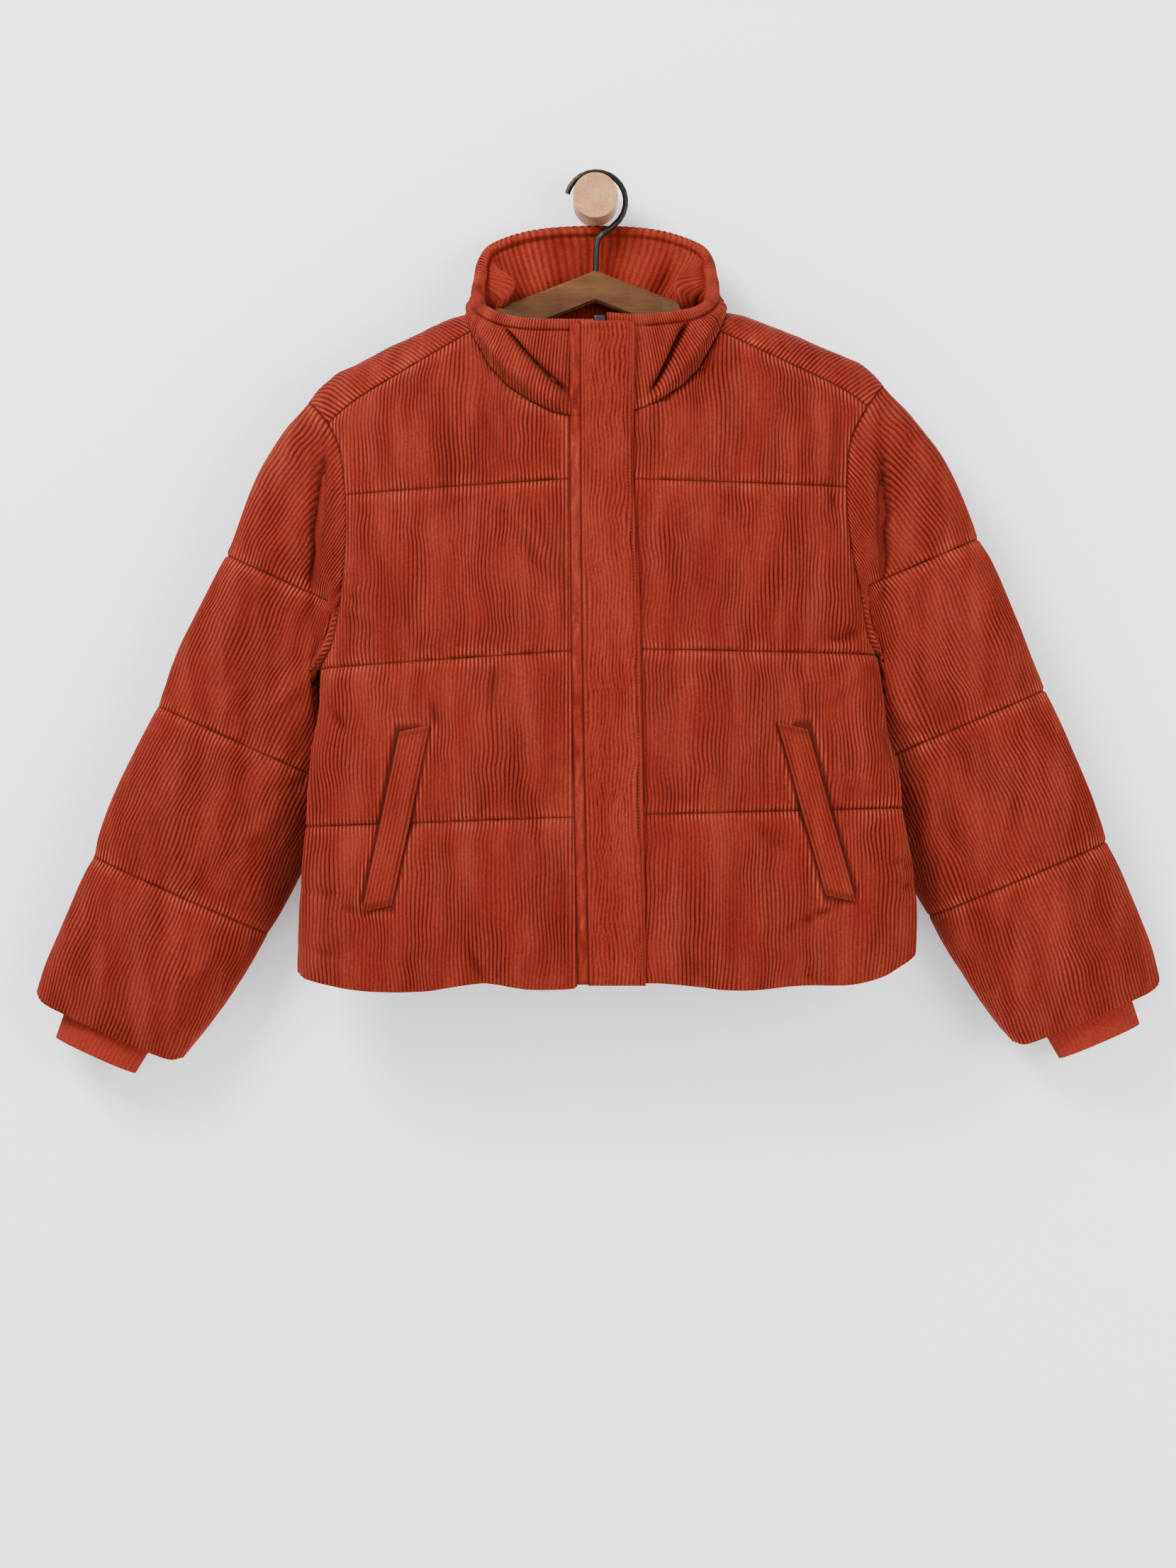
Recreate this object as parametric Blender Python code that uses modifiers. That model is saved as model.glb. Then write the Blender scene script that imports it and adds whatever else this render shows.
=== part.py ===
"""A quilted corduroy puffer jacket on a wooden hanger, hung on a round wall peg.

Frame: +Z up, the wall is the plane Y = 0 and everything hangs in front of it, towards -Y. The origin is
the centre of the peg's flat back, on the wall. The wearer's right is at -X. Sizes are in millimetres and
MM turns them into Blender's metres.

Every panel is a thin base surface, worked out from tables of sections. Its inner face is the base moved
in by the thickness of cloth and lining, and its outer face is the base raised by the filling between the
seams of the quilting.
"""

import math

import bmesh
import bpy
import numpy as np
from mathutils import Vector
from mathutils.bvhtree import BVHTree

MM = 0.001
SEAM_GAP = 0.3  # between sewn pieces, half of it on each
WALL = 3.0  # cloth and lining pressed together at a seam
PUFF = 9.5  # height of the filling in the middle of a channel
EDGE_RISE = 34.0  # from a panel's edge to the full height of its filling


def table(names, *rows):
    """Rows of numbers as named columns, sorted by the first."""
    return dict(zip(names.split(), np.array(sorted(rows), float).T))


# Torso sections by height: half widths, and the depths of the front's middle, the sides and the back.
TORSO = table(
    "z right left front side back round",
    (-60, 330, 330, -76, -50, -16, 2.5),
    (-120, 325, 325, -78, -52, -16, 2.5),
    (-180, 300, 300, -86, -55, -16, 2.5),
    (-230, 272, 272, -95, -58, -17, 2.5),
    (-280, 255, 256, -102, -60, -17, 2.5),
    (-340, 247, 248, -107, -61, -18, 2.5),
    (-420, 243, 247, -110, -66, -18, 2.3),
    (-452, 241, 250, -110, -73, -18, 2.1),
    (-500, 248, 261, -111, -80, -18, 2.0),
    (-560, 253, 271, -111, -83, -18, 2.0),
    (-620, 257, 277, -111, -84, -19, 2.1),
    (-710, 262, 284, -108, -82, -21, 2.2),
)
FRONT_POWER = 2.4  # of the fronts' sections; the back's is the table's last column

# The zip's line drifts outwards from the neck to the hem.
CENTRE = table("z x", (-120, 3), (-400, 5), (-710, 11))
FRONT_RIGHT_EDGE = -26.0  # from the zip's line to the first front's seam
FRONT_LEFT_EDGE = 8.3
STRIP_SPAN = (-25.7, -4.4)
TAPE_SPAN = (-4.0, 8.0)
# The filling starts this far from the zip's edge of each front: the left one's lies under the flap.
FILL_START = {"right": 4.0, "left": 34.0}
FLAP = table(
    "z right left",
    (-115, -17, 33),
    (-180, -17, 31),
    (-240, -17, 29),
    (-330, -17, 33),
    (-710, -17, 33),
)

# Each side: its shoulder line's neck end, its slope, and the forward seam's two ends, given by t along the
# shoulder line and d across it in the flat cloth.
SHOULDERS = {
    "right": dict(sign=-1, neck=(114.0, -107.0), slope=26.3, seam_neck=(4, 52), seam_end=(150, 64)),
    "left": dict(sign=1, neck=(113.8, -104.5), slope=22.3, seam_neck=(3, 54.7), seam_end=(147, 62)),
}
FOLD_R = 31.0  # radius of the shoulder's roll
ROLL_FRONT = -76.0  # depth of the roll's front beside the neck
# The shoulder falls away past the hanger's end.
DROOP_START = 112.0
DROOP_REACH = 46.0
DROOP = 10.0

UNDERARM = {"right": -422.0, "left": -409.0}
# Armholes, distance out by height: the fronts' as they hang, and the back's in the flat cloth, which runs
# on over the shoulder.
FRONT_ARMHOLE = {
    "right": table(
        "z out",
        *((-422, 243), (-405, 233), (-379, 226), (-335, 220.5)),
        *((-297, 218.5), (-257, 220.5), (-221, 227), (-190, 240)),
    ),
    "left": table(
        "z out",
        *((-409, 246.5), (-392, 239), (-361, 233), (-327, 226)),
        *((-299, 222), (-258, 220.5), (-212, 227), (-178, 240)),
    ),
}
BACK_ARMHOLE = {
    "right": table(
        "z out",
        *((-422, 243), (-405, 233), (-379, 226), (-335, 220.5), (-297, 218.5)),
        *((-257, 221), (-228, 229), (-205, 241), (-161, 262), (-116, 276.5)),
    ),
    "left": table(
        "z out",
        *((-409, 246.5), (-392, 237), (-361, 228), (-327, 222), (-299, 219.5)),
        *((-250, 221), (-218, 230), (-192, 243), (-147, 262), (-102.9, 273.3)),
    ),
}
NECKLINE = {
    "right": table(
        "out z",
        *((0, -201), (24, -200), (39, -196.5), (58, -187)),
        *((78, -173), (93, -156), (104, -138)),
    ),
    "left": table(
        "out z",
        *((0, -197), (34, -195.5), (54, -188), (76, -173), (91, -158), (104, -140)),
    ),
}
BACK_NECK = table("out z", (0, -119), (35, -118), (70, -114), (100, -104), (123, -85))

# Quilt seams of the torso: height at the zip and at the side, from the hem up.
QUILT = {
    "right": [(-551, -560), (-406.5, -422), (-256, -269)],
    "left": [(-549.5, -543), (-404.5, -409), (-255.5, -262)],
}
BACK_QUILT = (-553.0, -410.0, -262.0)
HEM = {
    "right": table(
        "out z",
        *((0, -700), (60, -701), (94, -696), (150, -703)),
        *((225, -700), (250, -694), (285, -684)),
    ),
    "left": table(
        "out z",
        *((0, -699), (46, -696), (133, -702), (180, -698)),
        *((232, -696), (257, -688), (275, -676), (295, -664)),
    ),
}
BACK_HEM = -699.0
HEM_LEVEL = -690.0  # at which the columns' distances out are read for the hem
# Lowest and highest places of the fronts' and the back's upper edges.
FRONT_TOPS = (-260.0, -100.0)
BACK_TOPS = (-300.0, -20.0)
YOKE_BLEND = 95.0  # height over which a front turns to meet the forward seam

# Sleeves: middle of the hem, angle from the vertical, and by height along the arm the two edges across it,
# the section's depth and how far its middle stands from the wall.
SLEEVES = {
    "right": dict(hem=(435.0, -742.0), angle=24.4),
    "left": dict(hem=(439.3, -729.3), angle=23.3),
}
SLEEVE = table(
    "h outer inner depth stand",
    (0, 69, -69, 23, 37),
    (40, 71, -79, 26, 38),
    (138, 73, -94, 30, 40),
    (283, 75, -97, 29, 40),
    (429, 74, -94, 28, 42),
    (500, 71, -94, 27, 45),
    (600, 60, -94, 26, 46),
)
SLEEVE_KEYS = ("outer", "inner", "depth", "stand")
SLEEVE_SEAMS = (0.0, 138.0, 283.0, 429.0)
SLEEVE_POWER = 2.2
SLEEVE_PUFF = 8.0
BACK_PUFF = 0.9 * PUFF
BODY_PADDING = 3.0  # of the body at its sides, where the sleeves pass it
BODY_CLEAR = {"base": 4.0, "outer": 1.0, "inner": 5.0}  # of a sleeve's surfaces from the body
SLEEVE_TILT = 13.0  # the outer edge stands further from the wall than the inner one
CAP_BLEND = 130.0  # length over which the tube turns into the armhole
# Under the arm it turns sooner, and soonest towards the wall, so that it passes behind the body.
UNDERARM_HASTE = np.array([-40.0, -85.0, -40.0])

# Collar: the rim by the turn from the zip, right side, back and left side to the zip again.
COLLAR_RIM = table(
    "turn x y z",
    (0.0, -1.5, -99, -120),
    (0.06, -30, -100, -120),
    (0.13, -62, -98, -119),
    (0.2, -88, -88, -112),
    (0.27, -104, -72, -98),
    (0.34, -107, -52, -76),
    (0.41, -94, -31, -44),
    (0.455, -55, -21, -30),
    (0.5, 0, -18, -26),
    (0.545, 55, -21, -30),
    (0.59, 94, -31, -44),
    (0.66, 107, -52, -72),
    (0.73, 104, -72, -94),
    (0.8, 88, -88, -108),
    (0.87, 62, -98, -114),
    (0.94, 36, -100, -116),
    (1.0, 9.8, -99, -114),
)
COLLAR_WALL = 7.0
COLLAR_PUFF = 4.5
COLLAR_ROLL = 5.0  # fold of the collar's fronts over their own lower half
COLLAR_CREASE = -3.5

PEG_DIAMETER, PEG_LENGTH = 40.0, 50.0
WIRE = 5.2
HOOK_ARC_R = 26.5
HANGER_APEX = -65.6
HANGER_SLOPE = 21.5
HANGER_TALL = 28.0
HANGER_THICK = 13.0
HANGER_Y = -36.0
HANGER_REACH = 196.0


# --- Smooth readings -----------------------------------------------------------------------------------


def curve(x, xs, ys):
    """Smooth interpolation through a table's points, flat past its ends."""
    xs, ys = np.asarray(xs, float), np.asarray(ys, float)
    x = np.clip(x, xs[0], xs[-1])
    slope = np.gradient(ys, xs)
    i = np.clip(np.searchsorted(xs, x, side="right") - 1, 0, len(xs) - 2)
    step = xs[i + 1] - xs[i]
    t = (x - xs[i]) / step
    value = ys[i] * (1 + 2 * t) * (1 - t) ** 2 + ys[i + 1] * t * t * (3 - 2 * t)
    return value + step * (slope[i] * t * (1 - t) ** 2 - slope[i + 1] * t * t * (1 - t))


def smooth(t):
    """0 to 1 with level ends."""
    t = np.clip(t, 0, 1)
    return t * t * (3 - 2 * t)


def cubic(t):
    """Weights of the four points round a place in a smooth curve, t past the second."""
    first = -(t**3) + 2 * t**2 - t
    second = 3 * t**3 - 5 * t**2 + 2
    third = -3 * t**3 + 4 * t**2 + t
    return np.stack([first, second, third, t**3 - t**2], -1) / 2


def sample(padded, i, j):
    """Smooth reading of a grid at fractional rows and columns, padded by one more each way."""
    rows, cols = padded.shape[0] - 2, padded.shape[1] - 2
    i, j = np.broadcast_arrays(np.clip(i, 0, rows - 1.0001), np.clip(j, 0, cols - 1.0001))
    i0 = i.astype(int)
    j0 = j.astype(int)
    wi = cubic(i - i0)
    wj = cubic(j - j0)
    near = [(a, b) for a in range(4) for b in range(4)]
    return sum((wi[..., a] * wj[..., b])[..., None] * padded[i0 + a, j0 + b] for a, b in near)


def superellipse(power, count=361):
    """Sections of half a rounded box, one for each power."""
    angle = np.linspace(0, math.pi / 2, count)
    power = np.asarray(power, float)[..., None]
    return np.sin(angle) ** (2 / power), np.cos(angle) ** (2 / power)


class Torso:
    """Half of the torso, front or back: (out, y) by the arc length s from the middle and the height z."""

    LOW, STEP, COUNT, ACROSS = -716.0, 6.0, 112, 141

    def __init__(self, side, face):
        z = self.LOW + self.STEP * np.arange(self.COUNT)
        power = np.full(len(z), FRONT_POWER) if face == "front" else curve(z, TORSO["z"], TORSO["round"])
        across, deep = superellipse(power)
        width, middle, edge = (curve(z, TORSO["z"], TORSO[key]) for key in (side, face, "side"))
        out = width[:, None] * across
        y = edge[:, None] + (middle - edge)[:, None] * deep
        steps = np.hypot(np.diff(out), np.diff(y))
        arc = np.concatenate([np.zeros((len(z), 1)), np.cumsum(steps, axis=1)], axis=1)
        self.z = z
        self.width = arc[:, -1]
        even = np.linspace(0, 1, self.ACROSS)
        rows = [[np.interp(even, a / a[-1], values) for values in pair] for a, *pair in zip(arc, out, y)]
        grid = np.moveaxis(np.array(rows), 1, 2)
        self.grid = np.pad(grid, ((1, 1), (1, 1), (0, 0)), "reflect", reflect_type="odd")

    def half(self, z):
        """Arc length from the middle to the side."""
        return np.interp(z, self.z, self.width)

    def at(self, s, z):
        """Distance out and depth at an arc length and a height."""
        share = np.asarray(s) / self.half(z)
        found = sample(self.grid, (z - self.LOW) / self.STEP, share * (self.ACROSS - 1))
        return found[..., 0], found[..., 1]

    def arc_to(self, out, z):
        """The arc length at which the section at z reaches a distance out."""
        low, high = np.zeros(np.broadcast(out, z).shape), self.half(z) + 0.0 * out
        for _ in range(30):
            middle = (low + high) / 2
            short = self.at(middle, z)[0] < out
            low, high = np.where(short, middle, low), np.where(short, high, middle)
        return (low + high) / 2


def shoulder_frame(side):
    """The shoulder line's neck end, and the cosine and sine of its slope."""
    shape = SHOULDERS[side]
    slope = math.radians(shape["slope"])
    return shape["neck"], math.cos(slope), math.sin(slope)


def shoulder_roll(side, out, z, y_back):
    """Carries the flat cloth of the back over the shoulder line: (out, y, z) of points of the flat cloth."""
    (neck_out, neck_z), c, s = shoulder_frame(side)
    t = (out - neck_out) * c - (z - neck_z) * s
    d = (out - neck_out) * s + (z - neck_z) * c
    turn = np.clip((d + FOLD_R) / FOLD_R, 0, math.pi) - math.pi / 2
    past = np.maximum(d + FOLD_R - math.pi * FOLD_R, 0)
    rise = np.where(d > -FOLD_R, FOLD_R * (np.cos(turn) - 1) - past, d)
    forward = (1 + np.sin(turn)) / 2
    y_front = ROLL_FRONT + 4.0 * smooth((t - 60) / 100)
    droop = DROOP * np.clip((t - DROOP_START) / DROOP_REACH, 0, 1.6) ** 2 * smooth((d + 110) / 80)
    y = y_back + (y_front - y_back) * forward
    return neck_out + t * c + rise * s, y, neck_z - t * s + rise * c - droop


def flat_of(side, t, d):
    """The flat cloth's (out, z) for t along the shoulder line and d across it."""
    (neck_out, neck_z), c, s = shoulder_frame(side)
    return neck_out + t * c + d * s, neck_z - t * s + d * c


FRONTS = {side: Torso(side, "front") for side in SHOULDERS}
BACKS = {side: Torso(side, "back") for side in SHOULDERS}


def forward_seam(side, share):
    """Points of the forward shoulder seam in the back's flat cloth, from the neck out."""
    (t0, d0), (t1, d1) = SHOULDERS[side]["seam_neck"], SHOULDERS[side]["seam_end"]
    return flat_of(side, t0 + (t1 - t0) * share, d0 + (d1 - d0) * share)


def back_point(side, s, z):
    """Points of the back as it hangs, rolled over the shoulder."""
    out, y = BACKS[side].at(s, z)
    out, y, z = shoulder_roll(side, out, z, y)
    return np.stack([SHOULDERS[side]["sign"] * out, y, z], -1)


def seam_line(side):
    """The forward seam as it hangs: heights and depths by the distance out."""
    s, z = forward_seam(side, np.linspace(0, 1, 41))
    point = back_point(side, s, z)
    return np.abs(point[:, 0]), point[:, 1], point[:, 2]


SEAMS = {side: seam_line(side) for side in SHOULDERS}


def front_top(side, out):
    """Height of a front's upper edge: the neckline, then the forward seam."""
    seam_out, _, seam_z = SEAMS[side]
    xs = np.concatenate([NECKLINE[side]["out"][:-1], seam_out])
    zs = np.concatenate([NECKLINE[side]["z"][:-1], seam_z])
    return np.interp(out, xs, zs)


def front_point(side, s, z):
    """Points of a front, drawn to the forward seam's depth near its top."""
    out, y = FRONTS[side].at(s, z)
    seam_out, seam_y, seam_z = SEAMS[side]
    held = np.clip(out, seam_out[0], seam_out[-1])
    height = np.interp(held, seam_out, seam_z)
    own = FRONTS[side].at(FRONTS[side].arc_to(held, height), height)[1]
    miss = np.interp(held, seam_out, seam_y) - own
    y = y + miss * smooth(1 - (height - z) / YOKE_BLEND)
    return np.stack([SHOULDERS[side]["sign"] * out, y, z], -1)


# --- Solids --------------------------------------------------------------------------------------------


def normals(grid, around=False):
    """Unit normals of a grid of points, pointing out of the garment where rows run up and columns out."""
    if around:
        wide = np.concatenate([grid[:, -2:-1], grid, grid[:, 1:2]], axis=1)
        along = wide[:, 2:] - wide[:, :-2]
    else:
        along = np.gradient(grid, axis=1)
    normal = np.cross(along, np.gradient(grid, axis=0))
    return normal / np.linalg.norm(normal, axis=-1, keepdims=True)


def new_object(name, points, faces, finish):
    """A piece of the jacket from points in millimetres, its faces turned outwards."""
    mesh = bpy.data.meshes.new(name)
    corners = [tuple(int(i) for i in face) for face in faces]
    mesh.from_pydata([tuple(p) for p in np.asarray(points) * MM], [], corners)
    shape = bmesh.new()
    shape.from_mesh(mesh)
    bmesh.ops.recalc_face_normals(shape, faces=shape.faces)
    if shape.calc_volume(signed=True) < 0:
        bmesh.ops.reverse_faces(shape, faces=shape.faces)
    shape.to_mesh(mesh)
    shape.free()
    mesh.shade_smooth()
    piece = bpy.data.objects.new(name, mesh)
    PARTS.objects.link(piece)
    mesh.materials.append(MATERIALS[finish])
    return piece


def quads_of(index):
    """The quads between neighbouring points of a grid."""
    quads = np.stack([index[:-1, :-1], index[:-1, 1:], index[1:, 1:], index[1:, :-1]], -1)
    return [tuple(quad) for quad in quads.reshape(-1, 4)]


def grid_of(first, grid):
    """Numbers of a grid's points, counted row by row from the first."""
    return first + np.arange(grid.shape[0] * grid.shape[1]).reshape(grid.shape[:2])


def zip_edges(a, at_a, b, at_b):
    """Triangles between two rows of points with unlike spacing."""
    faces = []
    i = 0
    j = 0
    while i < len(a) - 1 or j < len(b) - 1:
        if j == len(b) - 1 or (i < len(a) - 1 and at_a[i + 1] <= at_b[j + 1]):
            faces.append((a[i], a[i + 1], b[j]))
            i += 1
        else:
            faces.append((a[i], b[j + 1], b[j]))
            j += 1
    return [face for face in faces if len(set(face)) == 3]


def short_split(corners, points):
    """A quad as two triangles along its shorter diagonal, so that both faces of a seam bend alike."""
    a, b, c, d = corners
    if np.linalg.norm(points[0] - points[2]) < np.linalg.norm(points[1] - points[3]):
        return [(a, b, c), (a, c, d)]
    return [(a, b, d), (b, c, d)]


def border(index):
    """The numbers round the edge of a grid, ending where they start."""
    return np.concatenate([index[0, :-1], index[:-1, -1], index[-1, :0:-1], index[::-1, 0]])


def border_places(rows, cols):
    """Places along a grid's border that grids of unlike spacing share, with a whole number a side."""
    u = (cols - cols[0]) / (cols[-1] - cols[0])
    v = (rows - rows[0]) / (rows[-1] - rows[0])
    return np.concatenate([u[:-1], 1 + v[:-1], 3 - u[:0:-1], 4 - v[::-1]])


def panel(name, outer, inner, rows, cols, finish, keep_rows=None, keep_cols=None):
    """A closed solid between two grids.

    The inner one keeps its whole border, and inside it the kept rows and columns."""
    keep_rows = np.arange(1, len(rows) - 1) if keep_rows is None else keep_rows
    keep_cols = np.arange(1, len(cols) - 1) if keep_cols is None else keep_cols
    index = grid_of(0, outer)
    faces = quads_of(index)
    rim = border(index)
    ring = len(rim) - 1
    first = outer.shape[0] * outer.shape[1]
    lower_rim = np.append(first + np.arange(ring), first)
    high = outer.reshape(-1, 3)[rim]
    low = inner.reshape(-1, 3)[rim]
    for i in range(ring):
        corners = (rim[i], rim[i + 1], lower_rim[i + 1], lower_rim[i])
        faces += short_split(corners, (high[i], high[i + 1], low[i + 1], low[i]))
    kept = inner[keep_rows][:, keep_cols]
    kept_index = grid_of(first + ring, kept)
    faces += quads_of(kept_index)
    kept_places = border_places(rows[keep_rows], cols[keep_cols])
    faces += zip_edges(lower_rim, border_places(rows, cols), border(kept_index), kept_places)
    points = np.concatenate([outer.reshape(-1, 3), inner.reshape(-1, 3)[rim[:-1]], kept.reshape(-1, 3)])
    return new_object(name, points, faces, finish)


def tube(name, outer, inner, finish):
    """A closed solid between two grids of points that meet themselves in the last column."""
    outer = outer[:, :-1]
    inner = inner[:, :-1]
    points = np.concatenate([outer.reshape(-1, 3), inner.reshape(-1, 3)])
    faces = []
    ends = []
    for first, grid in ((0, outer), (outer.shape[0] * outer.shape[1], inner)):
        index = grid_of(first, grid)
        index = np.concatenate([index, index[:, :1]], axis=1)
        faces += quads_of(index)
        ends.append(index)
    for row in (0, -1):
        a = ends[0][row]
        b = ends[1][row]
        if len(a) != len(b):
            faces += zip_edges(a, np.linspace(0, 1, len(a)), b, np.linspace(0, 1, len(b)))
            continue
        for i in range(len(a) - 1):
            corners = (a[i], a[i + 1], b[i + 1], b[i])
            faces += short_split(corners, [points[k] for k in corners])
    return new_object(name, points, faces, finish)


def inward(grid, edge):
    """Unit directions from the first or last column, or the high row, into the panel."""
    rim, near = {
        "first": (grid[:, 0], grid[:, 1]),
        "last": (grid[:, -1], grid[:, -2]),
        "high": (grid[-1], grid[-2]),
    }[edge]
    way = near - rim
    return way / np.linalg.norm(way, axis=-1, keepdims=True)


def draw_back(grid, edges, by=SEAM_GAP / 2):
    """Moves the named edges of a grid in by half a seam's gap."""
    grid = grid.copy()
    ways = {edge: by * inward(grid, edge) for edge in edges}
    for edge, way in ways.items():
        if edge == "high":
            grid[-1] += way
        elif edge == "first":
            grid[:, 0] += way
        else:
            grid[:, -1] += way
    return grid


def channel(place):
    """Height of the filling over a channel, from seam to seam: steep at the seams and broad between."""
    return np.clip(1 - np.abs(2 * np.clip(place, 0, 1) - 1) ** 2.6, 0, 1) ** 0.75


def rise_from(distance, reach=EDGE_RISE):
    """Share of the filling at a distance from a panel's edge."""
    return np.clip(1 - (1 - np.clip(distance / reach, 0, 1)) ** 2, 0, 1)


CHANNEL_ROWS = (0.0, 0.05, 0.16, 0.34, 0.54, 0.74, 0.9)


def stacked_rows(levels, rows=CHANNEL_ROWS):
    """Places of a panel's rows between its seams: a whole number for each seam, and a share of the way up."""
    places = [level + place for level in range(levels - 1) for place in rows]
    return np.array(places + [levels - 1.0])


def between(places, levels):
    """Heights at the given places, where levels has one row for each seam."""
    low = np.minimum(places.astype(int), len(levels) - 2)
    share = (places - low)[:, None]
    return levels[low] * (1 - share) + levels[low + 1] * share


def channel_fill(places):
    """Height of the filling for each of a panel's rows."""
    low = np.minimum(places.astype(int), int(places[-1]) - 1)
    return channel(places - low)


# --- Fronts --------------------------------------------------------------------------------------------


def centre(z):
    """The zip's line."""
    return curve(z, CENTRE["z"], CENTRE["x"])


def front_edge(side, z):
    """Arc length at which a front starts, beside the zip."""
    return -(centre(z) + FRONT_RIGHT_EDGE) if side == "right" else centre(z) + FRONT_LEFT_EDGE


def front_outer(side, z):
    """Arc length at which a front ends: the side seam, then the armhole up to the forward seam's end."""
    torso, hole = FRONTS[side], FRONT_ARMHOLE[side]
    seam_out, _, seam_z = SEAMS[side]
    out = curve(z, np.append(hole["z"][:-1], seam_z[-1]), np.append(hole["out"][:-1], seam_out[-1]))
    widest = torso.at(torso.half(z), z)[0]
    return np.where(z <= UNDERARM[side], torso.half(z), torso.arc_to(np.minimum(out, widest), z))


def solve_height(out_at, edge, low, high):
    """The height between low and high at which a column, whose distance out is given, meets an edge."""
    for _ in range(40):
        middle = (low + high) / 2
        if edge(out_at(middle)) > middle:
            low = middle
        else:
            high = middle
    return (low + high) / 2


def front_levels(side, u):
    """Heights of a front's hem, quilt seams and top for each of its columns."""
    torso = FRONTS[side]

    def arc(share, z):
        return front_edge(side, z) + share * (front_outer(side, z) - front_edge(side, z))

    def meets_top(n):
        """The height at which a column meets the front's upper edge."""
        return solve_height(
            lambda z: torso.at(arc(n, z), z)[0],
            lambda out: front_top(side, out),
            *FRONT_TOPS,
        )

    top = np.array([meets_top(n) for n in u[:-1]] + [SEAMS[side][2][-1]])
    hem_out = torso.at(arc(u, HEM_LEVEL), HEM_LEVEL)[0]
    hem = curve(hem_out, HEM[side]["out"], HEM[side]["z"])
    seams = [np.full(len(u), at_zip) + (at_side - at_zip) * u for at_zip, at_side in QUILT[side]]
    return np.array([hem, *seams, top]), arc


def neck_share(side):
    """The column of a front that ends at the neckline's outer end."""
    out, z = SEAMS[side][0][0], SEAMS[side][2][0]
    start = front_edge(side, z)
    return (FRONTS[side].arc_to(out, z) - start) / (front_outer(side, z) - start)


CORNER = 6  # column of each half that ends where neck and forward seam meet


def half_columns(corner):
    """Columns from a half's inner edge to its outer one, with one at the neck's corner."""
    return np.concatenate([np.linspace(0, corner, CORNER + 1)[:-1], np.linspace(corner, 1, 7)])


def front_grid(side):
    """Base surface, filling and columns of a front."""
    u = half_columns(neck_share(side))
    places = stacked_rows(5)
    levels, arc = front_levels(side, u)
    z = between(places, levels)
    s = arc(u, z)
    base = front_point(side, s, z)
    beside_zip = s - front_edge(side, z) - FILL_START[side]
    fill = channel_fill(places)[:, None] * rise_from(beside_zip) * rise_from((front_outer(side, z) - s) + 2)
    return dict(base=base, fill=fill, u=u, places=places)


# Largest folds of each front: middle, half length, half width, direction in degrees from the horizontal,
# and height, negative for a dent.
FOLD_NAMES = "out z length width turn height"
FOLDS = {
    "right": table(
        FOLD_NAMES,
        (110, -215, 60, 12, 78, -4.0),
        (150, -330, 85, 14, 88, 3.0),
        (45, -340, 45, 9, -50, -3.5),
        (180, -600, 50, 10, 60, 3.0),
    ),
    "left": table(
        FOLD_NAMES,
        (80, -225, 55, 11, 52, 4.0),
        (205, -270, 60, 11, 84, -4.0),
        (52, -380, 45, 9, 70, -4.0),
        (200, -470, 55, 10, 30, 3.5),
    ),
}


def folds(side, point):
    """Height of the folds over a front's points."""
    out = np.abs(point[..., 0])
    z = point[..., 2]
    total = np.zeros(out.shape)
    for at_out, at_z, length, width, turn, height in zip(*FOLDS[side].values()):
        c = math.cos(math.radians(turn))
        s = math.sin(math.radians(turn))
        along = (out - at_out) * c + (z - at_z) * s
        across = -(out - at_out) * s + (z - at_z) * c
        total = total + height * np.exp(-((along / length) ** 2) - (across / width) ** 2)
    return total


FORWARD_SEAM_NORMAL = np.array([0.0, -0.97, 0.24])


def seam_normals(normal, base, side):
    """Gives a panel the normals that it shares with its neighbours, at the side seam and the forward seam."""
    normal = normal.copy()
    below = base[:, -1, 2] <= UNDERARM[side] + 1.0
    normal[below, -1] = (SHOULDERS[side]["sign"], 0.0, 0.0)
    normal[-1, CORNER:] = FORWARD_SEAM_NORMAL
    return normal


# Rows and columns of the inner faces, which are plainer than the outer ones.
FRONT_INNER_ROWS = np.array([4, 7, 11, 14, 18, 21, 24, 27])
BACK_INNER_ROWS = np.array([4, 7, 11, 14, 18, 21, *range(23, 32)])
SLEEVE_INNER_ROWS = np.array([0, 4, 7, 11, 14, 18, *range(21, 29)])


def build_front(side):
    """Makes a front, and returns what the collar and the sleeve need of it."""
    part = front_grid(side)
    base = draw_back(part["base"], ["first", "last", "high"])
    normal = normals(base)
    normal *= np.sign(-normal[..., 1:2].mean())
    normal = seam_normals(normal, part["base"], side)
    height = PUFF * part["fill"] + folds(side, base) * np.minimum(part["fill"] * 2, 1)
    outer = base + normal * height[..., None]
    inner = base - normal * WALL
    kept_cols = np.arange(2, 11, 2)
    panel(f"front_{side}", outer, inner, part["places"], part["u"], "corduroy", FRONT_INNER_ROWS, kept_cols)
    return dict(base=part["base"], normal=normal, places=part["places"])


# --- Back ----------------------------------------------------------------------------------------------


def back_outer(side, z):
    """Arc length at which the back ends: the side seam, then the armhole."""
    torso, hole = BACKS[side], BACK_ARMHOLE[side]
    out = curve(z, hole["z"], hole["out"])
    widest = torso.at(torso.half(z), z)[0]
    return np.where(z <= UNDERARM[side], torso.half(z), torso.arc_to(np.minimum(out, widest), z))


def back_top(side, s):
    """Height of the back's upper edge in the flat cloth: the neck, then the forward seams."""
    seam_s, seam_z = forward_seam(side, np.linspace(0, 1, 21))
    xs = np.concatenate([BACK_NECK["out"], seam_s])
    zs = np.concatenate([BACK_NECK["z"], seam_z])
    return np.interp(s, xs, zs)


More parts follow.
